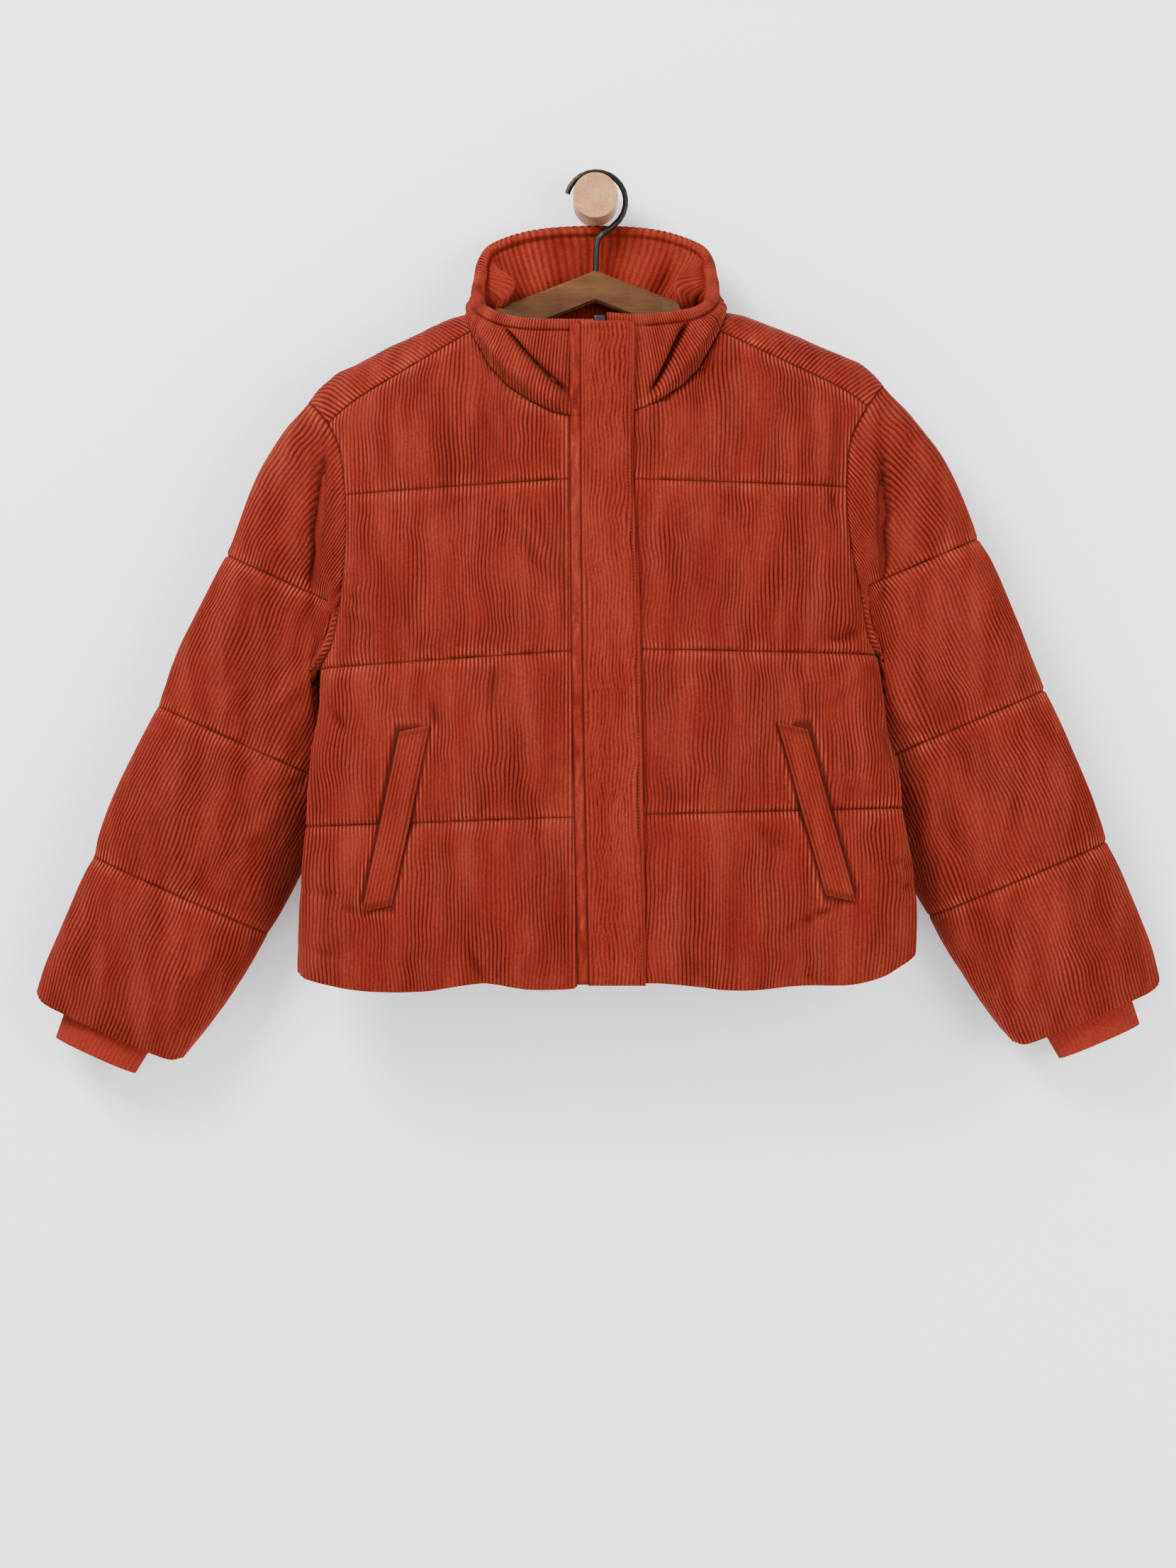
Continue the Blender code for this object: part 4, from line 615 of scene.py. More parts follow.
def new_piece(name, points, faces, finish, nodes, pile_and_painted_light=None, seam=None):
    mesh = bpy.data.meshes.new(name)
    mesh.from_pydata((np.asarray(points) * MM).tolist(), [], faces)
    # The seam attribute holds painted shade for seams, creases, stitch lines and gaps.
    for label, values in (("pile_and_painted_light", pile_and_painted_light), ("seam", seam)):
        if values is not None:
            held = mesh.attributes.new(label, "FLOAT", "POINT")
            held.data.foreach_set("value", np.asarray(values, np.float32))
    shape = bmesh.new()
    shape.from_mesh(mesh)
    bmesh.ops.recalc_face_normals(shape, faces=shape.faces)
    if shape.calc_volume(signed=True) < 0:
        bmesh.ops.reverse_faces(shape, faces=shape.faces)
    shape.to_mesh(mesh)
    shape.free()
    mesh.shade_smooth()
    mesh.materials.append(finish)
    piece = bpy.data.objects.new(name, mesh)
    bpy.context.scene.collection.objects.link(piece)
    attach(piece, "root")
    if nodes:
        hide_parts(*nodes)
    return piece


def slopes(base, w, z, outside):
    """Unit normals of a surface at widths and heights, on the side that outside names by its sign."""
    step = 0.8
    across = base(w + step, z) - base(w - step, z)
    up = base(w, z + step) - base(w, z - step)
    normal = np.cross(across, up)
    normal /= np.maximum(np.linalg.norm(normal, axis=-1, keepdims=True), 1e-9)
    return normal * outside


def cloth(name, base, outside, height_of, fine, broad):
    """A closed panel: the wales and folds outside, and a plain broad face inside."""
    w, z = fine["w"], fine["z"]
    normal = slopes(base, w, z, outside)
    height, pile_and_painted_light, near, fold = height_of(fine)
    outer = base(w + sway(w, z, near), z) + normal * height[:, None]
    # Painted shade, kept in the seam attribute: a dark line in each seam and darkening in the deep creases of the
    # folds.
    seam = np.maximum(np.exp(-((near / SEAM_LINE) ** 2)), np.clip((-fold - 3) / 7, 0, 0.8))
    inner = base(broad["w"], broad["z"]) - slopes(base, broad["w"], broad["z"], outside) * WALL
    first = len(outer)
    faces = triangles(fine["quads"]) + triangles(broad["quads"] + first)
    faces += zip_edges(fine["ring"], fine["places"], broad["ring"] + first, broad["places"])
    faces = [tuple(int(i) for i in face) for face in faces]
    blank = np.zeros(len(inner))
    piece = new_piece(
        f"{name}_cloth", np.concatenate([outer, inner]), faces, CORDUROY, [name],
        np.concatenate([pile_and_painted_light, blank + 0.6]), np.concatenate([seam, blank]),
    )
    return piece


# --- Fronts --------------------------------------------------------------------------------------------


def front_miss(side):
    """How far a front's section falls short of the forward seam, by the distance out."""
    seam_out, seam_y, seam_z = SEAMS[side]
    at = np.linspace(seam_out[0], seam_out[-1], 60)
    height = np.interp(at, seam_out, seam_z)
    torso = FRONTS[side]
    return at, height, np.interp(at, seam_out, seam_y) - torso.at(torso.arc_to(at, height), height)[1]


MISSES = {side: front_miss(side) for side in SHOULDERS}


def front_point(side, s, z):
    out, y = FRONTS[side].at(s, z)
    at, height, miss = MISSES[side]
    below = np.interp(out, at, height) - z
    y = y + np.interp(out, at, miss) * smooth(1 - below / 95)
    return np.stack([SHOULDERS[side]["sign"] * out, y, z + 0 * out], -1)


HEM_CORNER = 13.0


def round_corner(places, end, radius=HEM_CORNER):
    """How far a hem rises towards its end."""
    short = np.clip(1 - (places - end) / radius, 0, 0.999)
    return radius * (1 - np.sqrt(1 - short**2))


def front_levels(side, columns):
    torso = FRONTS[side]
    hem = curve(torso.at(columns, -690.0 + 0 * columns)[0], HEM[side]["out"], HEM[side]["z"])
    hem = hem + round_corner(columns, front_edge(side, -700.0), 5.0) + round_corner(-columns, -front_outer(side, -690.0))
    seams = []
    for at_zip, at_side in QUILT[side]:
        start, end = (float(edge(side, np.array(at_side))) for edge in (front_edge, front_outer))
        seams.append(at_zip + (at_side - at_zip) * np.clip((columns - start) / (end - start), 0, 1))
    top = np.full(len(columns), -200.0)
    for _ in range(25):
        top = 0.5 * top + 0.5 * front_top(side, torso.at(columns, top)[0])
    return np.array([hem, *seams, top])


HEM_ROLL = 0.05  # share of the lowest channel that is turned under at the hem


def seam_gap(levels, grid, columns, places):
    """Distance of each point from the nearest seam that runs across, and its place in its channel."""
    place = places[grid["row"]]
    low = np.minimum(place.astype(int), len(levels) - 2)
    level = [np.interp(grid["w"], columns, row) for row in levels]
    tall = np.choose(low, [level[i + 1] - level[i] for i in range(len(levels) - 1)])
    share = place - low
    gap = np.minimum(np.where(low > 0, share, 1), 1 - share) * tall
    return gap, np.where(low > 0, share, HEM_ROLL + (1 - HEM_ROLL) * share), low


def welt_distance(side, out, z):
    """Distance from a pocket's welt, which is sewn on like a seam."""
    shape = WELTS[side]
    (o1, z1), (o0, z0) = shape["high"], shape["low"]
    length = math.hypot(o1 - o0, z1 - z0)
    c, s = (o1 - o0) / length, (z1 - z0) / length
    along = (out - (o0 + o1) / 2) * c + (z - (z0 + z1) / 2) * s
    across = (out - (o0 + o1) / 2) * s - (z - (z0 + z1) / 2) * c
    past_side = np.abs(across) - shape["width"] / 2 - 1.5
    past_end = np.abs(along) - length / 2 - 1.0
    return np.maximum(np.maximum(past_side, past_end), 0)


def front_piece(side):
    torso = FRONTS[side]
    seed = 5.3 if side == "right" else 31.7

    def low(z):
        return front_edge(side, z)

    def high(z):
        return front_outer(side, z)

    def grids(step, places):
        columns = np.arange(0.0, 300.0, step)
        levels = front_levels(side, columns)
        return columns, levels, clipped(columns, between(places, levels), low, high)

    places = row_places([145, 142, 150, 85])
    columns, levels, fine = grids(COLUMN, places)
    broad = grids(BROAD_COLUMN, row_places([145, 142, 150, 85], np.array([10.0]), 26.0))[2]

    def height_of(grid):
        gap, share, _ = seam_gap(levels, grid, columns, places)
        w, z = grid["w"], grid["z"]
        to_zip, to_side = w - low(z), high(z) - w
        margin = 4 if side == "right" else 34
        fill = channel(share) * rise_from(to_zip - margin) * rise_from(to_side + 2)
        edge = np.minimum(to_side, to_zip if side == "right" else 99.0)
        out = np.abs(front_point(side, w, z)[:, 0])
        # The welt is treated as a seam, for its puckers and for the painted shade round it.
        near = np.minimum(np.minimum(gap, np.maximum(edge, 0)), 0.3 + 1.5 * welt_distance(side, out, z))
        rough, pile_and_painted_light = relief(w, z, near, seed, 0.6)
        under_flap = smooth((to_zip - margin + 6) / 8)
        fold = folds(FRONT_FOLDS[side], out, z) * np.minimum(fill * 2 + 0.15, 1)
        return PUFF * fill + (fold + rough) * under_flap, pile_and_painted_light, near, fold * under_flap

    return cloth(
        f"front_{side}", lambda w, z: front_point(side, w, z), SHOULDERS[side]["sign"], height_of, fine, broad,
    )


# --- Back ----------------------------------------------------------------------------------------------


def back_point(side, s, z):
    out, y = BACKS[side].at(s, z)
    out, y, z = shoulder_roll(side, out, z, y)
    return np.stack([SHOULDERS[side]["sign"] * out, y, z], -1)


def back_base(w, z):
    return np.where((w < 0)[..., None], back_point("right", -w, z), back_point("left", w, z))


def back_edge(z, side):
    return SHOULDERS[side]["sign"] * back_outer(side, z)


def back_levels(columns):
    rows = []
    for side in SHOULDERS:
        s = np.abs(columns)
        share = [np.clip(s / float(back_outer(side, np.array(z))), 0, 1) for z in (-690.0, *BACK_QUILT)]
        hem = BACK_HEM + (HEM[side]["z"][-1] - BACK_HEM) * share[0] ** 6
        hem = hem + round_corner(-s, -float(back_outer(side, np.array(-690.0))))
        at_side = [pair[1] for pair in QUILT[side]]
        seams = [middle + (edge - middle) * n**3 for middle, edge, n in zip(BACK_QUILT, at_side, share[1:])]
        rows.append(np.array([hem, *seams, back_top(side, s)]))
    return np.where(columns < 0, rows[0], rows[1])


def back_piece():
    def grids(step, places):
        half = math.ceil(300 / step)
        columns = np.arange(-half, half + 1) * step
        levels = back_levels(columns)
        rows = between(places, levels)
        return columns, levels, clipped(columns, rows, lambda z: back_edge(z, "right"), lambda z: back_edge(z, "left"))

    lengths = [146, 143, 148, 175]
    places = row_places(lengths)
    columns, levels, fine = grids(COLUMN, places)
    broad = grids(BROAD_COLUMN, row_places(lengths, np.array([10.0]), 22.0))[2]

    def height_of(grid):
        gap, share, low = seam_gap(levels, grid, columns, places)
        w, z = grid["w"], grid["z"]
        outer = np.where(w < 0, -back_edge(z, "right"), back_edge(z, "left"))
        to_side = outer - np.abs(w)
        place = low + share
        over = smooth((place - 3.25) / 0.3) * smooth((np.abs(w) / 270 - 0.2) / 0.2)
        fill = channel(share) * rise_from(to_side + 2) * (1 - 0.35 * over)
        near = np.minimum(gap, np.maximum(to_side, 0))
        rough, pile_and_painted_light = relief(w, z, near, 47.1)
        fold = folds(BACK_FOLDS, w, z) * np.minimum(fill * 2, 1) * (1 - 0.6 * over)
        return 0.9 * PUFF * fill + fold + rough * (1 - 0.5 * over), pile_and_painted_light, near, fold

    return cloth("back", back_base, -1.0, height_of, fine, broad)


# --- Sleeves -------------------------------------------------------------------------------------------


def armhole_points(side):
    """Points round an armhole, from the underarm up the front, over the shoulder and down the back."""
    z = np.linspace(UNDERARM[side], SEAMS[side][2][-1], 120)
    front = front_point(side, front_outer(side, z), z)
    end = float(forward_seam(side, 1.0)[1])
    z = np.linspace(end, UNDERARM[side], 160)
    return np.concatenate([front, back_point(side, back_outer(side, z), z)[1:]])


def loop_turns(loop):
    """Share of the way round for each point of an armhole, with its highest point outwards at a half."""
    arc = np.concatenate([[0], np.cumsum(np.linalg.norm(np.diff(loop, axis=0), axis=1))])
    tip = int(np.argmax(np.abs(loop[:, 0]) + 0.6 * loop[:, 2]))
    return np.where(arc <= arc[tip], 0.5 * arc / arc[tip], 0.5 + 0.5 * (arc - arc[tip]) / (arc[-1] - arc[tip]))


def sleeve_piece(side):
    loop = armhole_points(side)
    turns = loop_turns(loop)
    tops = arm_height(side, loop)
    misses = loop - sleeve_tube(side, turns, tops)
    heights = np.linspace(-20, 620, 65)
    steps = np.linspace(0, 1, 201)
    rounds = np.array([
        np.linalg.norm(np.diff(sleeve_tube(side, steps, np.full(201, h)), axis=0), axis=1).sum() for h in heights
    ])
    seed = 61.9 if side == "right" else 83.3

    def turn_of(w, h):
        return np.clip(0.5 + w / np.interp(h, heights, rounds), 0, 1)

    def base(w, h):
        turn = turn_of(w, h)
        top = np.interp(turn, turns, tops)
        miss = np.stack([np.interp(turn, turns, misses[:, k]) for k in range(3)], -1)
        near_body = np.exp(-((np.minimum(turn, 1 - turn) / 0.12) ** 2))
        below = (top - h)[..., None] / (CAP_BLEND + near_body[..., None] * UNDERARM_HASTE)
        point = sleeve_tube(side, turn, h) + miss * smooth(1 - below)
        return keep_off_body(side, point, top - h, 4.0)

    def levels_of(columns):
        top = np.full(len(columns), 500.0)
        for _ in range(25):
            top = 0.5 * top + 0.5 * np.interp(turn_of(columns, top), turns, tops)
        seam = np.minimum(SLEEVE_SEAMS[3], SLEEVE_SEAMS[2] + (top - SLEEVE_SEAMS[2]) * 0.82)
        flat = np.ones(len(columns))
        turn = turn_of(columns, 0 * flat)
        corner = np.minimum(np.minimum(turn, 1 - turn), np.abs(turn - 0.5))
        hem = HEM_CORNER / 2 * np.exp(-((corner / 0.03) ** 2))
        return np.array([hem, SLEEVE_SEAMS[1] * flat, SLEEVE_SEAMS[2] * flat, seam, top])

    def grids(step, places):
        half = math.ceil(200 / step)
        columns = np.arange(-half, half + 1) * step
        levels = levels_of(columns)
        rows = between(places, levels)
        return columns, levels, clipped(
            columns, rows, lambda h: -np.interp(h, heights, rounds) / 2, lambda h: np.interp(h, heights, rounds) / 2
        )

    lengths = [138, 145, 130, 110]
    places = row_places(lengths)
    columns, levels, fine = grids(COLUMN, places)
    broad = grids(BROAD_COLUMN, row_places(lengths, np.array([8.0]), 16.0))[2]

    def height_of(grid):
        gap, share, low = seam_gap(levels, grid, columns, places)
        w, h = grid["w"], grid["z"]
        turn = turn_of(w, h)
        top = np.interp(turn, turns, tops)
        near_body = np.exp(-((np.minimum(turn, 1 - turn) / 0.12) ** 2))
        capped = smooth((top - SLEEVE_SEAMS[3] - 4) / 30)
        whole = channel((h - SLEEVE_SEAMS[2]) / (top - SLEEVE_SEAMS[2]))
        fill = np.where(low >= 2, channel(share) * capped + whole * (1 - capped), channel(share))
        fill = fill * rise_from(top - h + 1) * (1 - 0.75 * near_body)
        fill = fill * (1 - 0.35 * smooth((turn - 0.5) / 0.1) * smooth((1 - turn) / 0.1))
        fill = fill * (1 - 0.55 * np.exp(-(((turn - 0.5) / 0.055) ** 2)) * smooth((520 - h) / 80))
        inner_seam = np.interp(h, heights, rounds) / 2 - np.abs(w)
        stitched = np.where((low >= 2) & (share > 0.5) & (low < 3), gap + 40 * (1 - capped), gap)
        near = np.minimum(np.maximum(stitched, 0), np.maximum(np.minimum(inner_seam, top - h + 0.0), 0))
        rough, pile_and_painted_light = relief(w, h, near, seed, 0.5, 0.6)
        point = base(w, h)
        shown = smooth((0.53 - turn) / 0.08)
        fold = folds(SLEEVE_FOLDS[side], np.abs(point[:, 0]), point[:, 2]) * (0.35 + 0.65 * shown)
        fold = fold * np.minimum(fill * 2 + 0.15, 1) * (1 - 0.8 * near_body)
        return SLEEVE_PUFF * fill + fold + rough * (1 - 0.5 * near_body), pile_and_painted_light, near, fold

    return cloth(f"sleeve_{side}", base, SHOULDERS[side]["sign"], height_of, fine, broad)


# --- Collar --------------------------------------------------------------------------------------------


def neck_line():
    """The collar's seam: beside the zip, along the right front, round the back and along the left front."""
    parts = []
    for side in SHOULDERS:
        torso = FRONTS[side]
        start_z = np.array(NECKLINE[side]["z"][0])
        out = np.linspace(float(torso.at(front_edge(side, start_z), start_z)[0]), SEAMS[side][0][0], 90)
        z = front_top(side, out)
        front = front_point(side, torso.arc_to(out, z), z)
        s = np.linspace(float(forward_seam(side, 0.0)[0]), 0, 90)
        back = back_point(side, s, back_top(side, s))
        parts.append(np.concatenate([front, back[1:]]))
    right, left = parts
    start = right[0].copy()
    start[0] = float(centre(-200.0)) - 4.4
    return np.concatenate([[start], right, left[::-1][1:]])


# Where the collar's fronts fold over, as a share of the way up.
COLLAR_CREASES = table(
    "turn up",
    *((0, 0.1), (0.03, 0.2), (0.08, 0.41), (0.125, 0.6), (0.18, 0.9), (0.26, 1.0)),
    *((0.78, 1.0), (0.82, 0.9), (0.87, 0.58), (0.91, 0.3), (0.94, 0.12), (1, 0.05)),
)
# Wads of the collar's inside: middle, half width and half height, and how far they stand in.
WADS = table(
    "turn up wide tall height",
    *((0.358, 0.66, 0.028, 0.45, 28), (0.385, 0.62, 0.014, 0.3, 7), (0.41, 0.6, 0.01, 0.4, -4)),
    *((0.445, 0.4, 0.014, 0.3, 4), (0.475, 0.6, 0.01, 0.35, -3.5), (0.54, 0.4, 0.014, 0.3, 4)),
    *((0.575, 0.6, 0.01, 0.35, -4), (0.615, 0.5, 0.012, 0.3, 7), (0.647, 0.64, 0.03, 0.45, 30)),
)
RIM_WALE = 3.1  # the wales lie closer on the rolled band
RIM_BAND = 6.4  # width of the rolled band along the collar's rim


def groove(distance, width=0.9):
    """A line of stitches, sunk into the cloth."""
    return np.exp(-((distance / width) ** 2))


def collar_piece():
    line = neck_line()
    arc = np.concatenate([[0], np.cumsum(np.linalg.norm(np.diff(line, axis=0), axis=1))])
    even = np.arange(0, arc[-1], COLUMN)
    turn = even / arc[-1]
    base = np.stack([np.interp(even, arc, line[:, k]) for k in range(3)], -1)
    rim = np.stack([curve(turn, COLLAR_RIM["turn"], COLLAR_RIM[key]) for key in ("x", "y", "z")], -1)
    up = np.concatenate([[0, 0.012, 0.03, 0.06], np.linspace(0.1, 0.82, 24), np.linspace(0.84, 1, 11)])
    grid = base[None] * (1 - up)[:, None, None] + rim[None] * up[:, None, None]
    normal = np.cross(np.gradient(grid, axis=1), np.gradient(grid, axis=0))
    normal /= np.linalg.norm(normal, axis=-1, keepdims=True)
    outward = grid - np.array([0.0, -55.0, 0.0])
    outward[..., 2] = 0
    normal *= np.sign((normal * outward).sum(axis=-1).mean())
    front = np.minimum(turn, 1 - turn)
    crease = np.interp(turn, COLLAR_CREASES["turn"], COLLAR_CREASES["up"])
    under_flap = np.where(turn < 0.5, smooth((turn - 0.03) / 0.025), smooth((1 - turn - 0.055) / 0.025))
    tall = np.linalg.norm(rim - base, axis=-1)
    seam_distance = up[:, None] * tall
    below_rim = (1 - up)[:, None] * tall
    creased = smooth((0.26 - front) / 0.06) * smooth((below_rim - 5) / 10)
    roll = 6.5 * np.exp(-(((up[:, None] - 0.45 * crease) / 0.15) ** 2)) * smooth((0.25 - front) / 0.1)
    dent = -5.0 * np.exp(-(((up[:, None] - crease) / 0.08) ** 2)) * creased
    dent = dent - 7.0 * np.exp(-(((up[:, None] - crease) / 0.035) ** 2)) * creased
    fill = COLLAR_PUFF * channel(up)[:, None] * smooth(below_rim / 14)
    fill = fill + (roll + dent) * smooth(up / 0.08)[:, None]
    band = 1.9 * np.sqrt(np.clip(1 - ((below_rim - 3.0) / 3.4) ** 2, 0, 1))
    stitched = groove(below_rim - RIM_BAND, 1.0)
    rough, pile_and_painted_light = relief(even[None] + 0 * up[:, None], seam_distance, np.minimum(seam_distance, 9.0), 17.9, 1.0, 0.9)
    at_rim = smooth((11 - below_rim) / 4)
    rim_wale = 1.0 * (np.abs(np.sin(np.pi * even / RIM_WALE))[None] ** 0.7 - 0.5)
    rough = rough * (1 - at_rim) + rim_wale * at_rim
    wales = rough * np.maximum(under_flap, 0.15) + (band - 1.6 * stitched) * np.maximum(under_flap, 0.4)
    outer = grid + normal * (fill * under_flap + wales)[..., None]
    top_way = normal[-1]
    lip = []
    for angle in np.radians([35, 70, 110, 145]):
        offset = COLLAR_WALL / 2 * (math.cos(angle) - 1)
        raised = grid[-1] + top_way * offset + np.array([0, 0, 3.2]) * math.sin(angle)
        lip.append(raised + np.array([0, 0, 1.0]) * (rough[-1] * math.sin(angle))[:, None])
    wall = WALL + (COLLAR_WALL - WALL) * smooth(up / 0.25)
    spans = np.linalg.norm(np.diff(grid, axis=1), axis=-1).sum(axis=1)
    inner_even = 300 + (turn[None] - 0.5) * spans[:, None]
    lean = 2.6 * SOFT(inner_even / 21, 6 + up[:, None] * 2.2) * smooth(below_rim / 16)
    rough_in, inner_pile_and_painted_light = relief(inner_even + lean, seam_distance, np.minimum(seam_distance, 9.0), 23.1, 1.0, 0.8)
    rough_in = rough_in * (1 - at_rim) + rim_wale * at_rim
    wad = 4.5 * SOFT(even / 34, 3.3 + up[:, None] * 3.4 + even / 150) + 2.0 * SOFT(even / 14, 9 + up[:, None] * 2)
    wad = 0.5 * wad
    for at, high, wide, deep, height in zip(*WADS.values()):
        wad = wad + height * np.exp(-(((turn - at) / wide) ** 2) - ((up[:, None] - high) / deep) ** 2)
    wad = wad * smooth((below_rim - RIM_BAND) / 12) * smooth(up / 0.2)[:, None]
    inside = 0.9 * rough_in + 1.4 * band - 1.6 * stitched + wad
    inner = grid - normal * (wall[:, None] + np.maximum(inside, -3.0))[..., None]
    rings = np.concatenate([outer, np.array(lip), inner[::-1]])
    count, across = rings.shape[:2]
    index = np.arange(count * across).reshape(count, across)
    around = np.concatenate([index, index[:1]])
    quads = np.stack([around[:-1, :-1], around[:-1, 1:], around[1:, 1:], around[1:, :-1]], -1).reshape(-1, 4)
    ends = [tuple(int(i) for i in index[:, 0]), tuple(int(i) for i in index[::-1, -1])]
    # Painted shade: in the neck seam, along the stitches, and in the fronts' creases outside.
    shade = np.maximum(np.exp(-((seam_distance / 1.0) ** 2)), 0.5 * stitched)
    blank = np.maximum(shade, 0.95 * np.exp(-(((up[:, None] - crease) / 0.035) ** 2)) * creased * under_flap)
    pile_and_painted_light = np.concatenate([pile_and_painted_light, np.repeat(pile_and_painted_light[-1:], len(lip), axis=0), 0.22 + 0.7 * inner_pile_and_painted_light[::-1]]).ravel()
    seam = np.concatenate([blank, np.zeros((len(lip), across)), shade[::-1]]).ravel()
    piece = new_piece(
        "collar_cloth", rings.reshape(-1, 3), quads.tolist() + ends, CORDUROY, ["collar"], pile_and_painted_light, seam
    )


# --- Flap and welts ------------------------------------------------------------------------------------


def torso_depth(x, z):
    """Depth of the fronts' base surface near the zip."""
    right = front_point("right", np.maximum(-x, 0.0), z)[..., 1]
    left = front_point("left", np.maximum(x, 0.0), z)[..., 1]
    share = smooth((x + 6) / 12)
    return right * (1 - share) + left * share


def shell(name, outer, inner, pile_and_painted_light, seam, slot_nodes):
    """A closed strip between two grids of one size."""
    rows, cols = outer.shape[:2]
    index = np.arange(rows * cols).reshape(rows, cols)
    faces = []
    for grid in (index, index[::-1] + rows * cols):
        faces += np.stack([grid[:-1, :-1], grid[:-1, 1:], grid[1:, 1:], grid[1:, :-1]], -1).reshape(-1, 4).tolist()
    ring = np.concatenate([index[0, :-1], index[:-1, -1], index[-1, :0:-1], index[::-1, 0]])
    below = ring + rows * cols
    faces += np.stack([ring[1:], ring[:-1], below[:-1], below[1:]], -1).tolist()
    return new_piece(
        name, np.concatenate([outer.reshape(-1, 3), inner.reshape(-1, 3)]), faces, CORDUROY, slot_nodes,
        np.concatenate([pile_and_painted_light.ravel(), pile_and_painted_light.ravel() * 0 + 0.6]), np.concatenate([seam.ravel(), seam.ravel() * 0]),
    )


STITCH_IN = 4.6  # from an edge to its line of stitches


def flap_piece():
    rim_z, hem_z, neck_z = -118.5, -698.0, -198.0
    z = np.concatenate([hem_z + np.array([0, 1.2, 3.0, 6.0]), np.linspace(-688, -134, 105), np.linspace(-131.5, rim_z, 9)])
    left_edge = centre(z) + curve(z, FLAP["z"], FLAP["right"])
    right_edge = centre(z) + curve(z, FLAP["z"], FLAP["left"])
    corner = np.clip((z - (rim_z - 8)) / 8, 0, 1)
    right_edge = right_edge - 8 * (1 - np.sqrt(1 - np.minimum(corner, 0.999) ** 2))
    u = np.concatenate([[0, 0.006, 0.015], np.linspace(0.028, 0.972, 56), [0.985, 0.994, 1]])
    x = left_edge[:, None] * (1 - u) + right_edge[:, None] * u
    grid_z = np.repeat(z[:, None], len(u), axis=1)
    body = torso_depth(x, np.minimum(grid_z, neck_z))
    lower = smooth((grid_z + 210) / 14)
    share = np.clip((grid_z - neck_z) / 78.0, 0, 1)
    start = float(torso_depth(np.array(10.0), np.array(neck_z)))
    neck = start * (1 - share) + COLLAR_RIM["y"][0] * share
    y = body * (1 - lower) + neck * lower - 1.6
    from_left, from_right = x - left_edge[:, None], right_edge[:, None] - x
    from_end = np.minimum(rim_z - grid_z, grid_z - hem_z)
    snaps = sum(np.exp(-(((grid_z - at) / 16) ** 2)) for at in FLAP_SNAPS)
    edge = np.minimum(np.minimum(from_left, from_right), from_end)
    thick = 3.0 * np.clip(edge / 3.0, 0.03, 1) ** 0.5 + 1.4 * snaps * np.sin(np.pi * u) ** 2
    drift = 3.4 * SOFT(7 + x / 40, grid_z / 38) + 1.8 * SOFT(3 + x / 18, 5 + grid_z / 12)
    wale_w = x - centre(z)[:, None] + 200 + drift * smooth(np.minimum(from_left, from_right) / 12)
    ridge = np.abs(np.sin(np.pi * wale_w / WALE)) ** 0.7
    soft = 0.9 * SOFT(wale_w / 24, grid_z / 30) + 0.8 * SOFT(9 + wale_w / 60, grid_z / 13) * smooth(from_left / 20)
    drag = 1.4 * np.exp(-(((grid_z + 190 + 0.5 * x) / 9) ** 2)) - 1.2 * np.exp(-(((grid_z + 205 + 0.7 * x) / 6) ** 2))
    stitched = groove(from_right - STITCH_IN) + groove(rim_z - grid_z - 7.4) * (from_right > STITCH_IN)
    thick = thick + 1.35 * WALE_HEIGHT * (ridge - 0.5) * smooth(edge / 1.6) + (soft + drag) * smooth(edge / 10)
    thick = thick - 0.9 * stitched * smooth(edge / 2)
    base = np.stack([x, y, grid_z], -1)
    outer = base - np.stack([0 * x, np.maximum(thick, 0.2), 0 * x], -1)
    # Painted shade along the stitches and in the gap at the flap's left edge.
    seam = np.maximum(0.16 * np.minimum(stitched, 1), np.exp(-((from_left / 0.9) ** 2)))
    show = 0.8 + 0.2 * smooth(0.55 + 0.9 * SOFT(x / 15, grid_z / 28))
    pile_and_painted_light = 0.58 + (0.84 * ridge - 0.58) * show
    piece = shell("flap_cloth", outer, base, pile_and_painted_light, seam, ["placket"])
    lines = [
        (x[4:-3, -1] - STITCH_IN, outer[4:-3, -12, 1], z[4:-3]),
    ]
    for line in lines:
        stitches("flap_stitches", np.stack(line, -1), 3.0)


def stitches(name, route, pitch):
    """Short raised threads, one behind the other along a route on the cloth."""
    arc = np.concatenate([[0], np.cumsum(np.linalg.norm(np.diff(route, axis=0), axis=1))])
    middles = np.arange(pitch, arc[-1] - pitch, pitch)
    points, faces = [], []
    for at in middles:
        ends = [np.array([np.interp(at + d, arc, route[:, k]) for k in range(3)]) for d in (-0.36 * pitch, 0.36 * pitch)]
        way = ends[1] - ends[0]
        way /= np.linalg.norm(way)
        side = np.cross(way, (0, 1, 0))
        side /= np.linalg.norm(side)
        middle = (ends[0] + ends[1]) / 2
        first = len(points)
        points += [ends[0], ends[1]]
        points += [middle + 0.32 * side, middle + (0, -0.35, 0), middle - 0.32 * side, middle + (0, 0.3, 0)]
        for k in range(4):
            a, b = first + 2 + k, first + 2 + (k + 1) % 4
            faces += [(first, a, b), (first + 1, b, a)]
    new_piece(name, np.array(points), faces, THREAD, [])


STRIP_Z = {"placket_strip": (-697.0, -199.5), None: (-200.6, -121.0)}


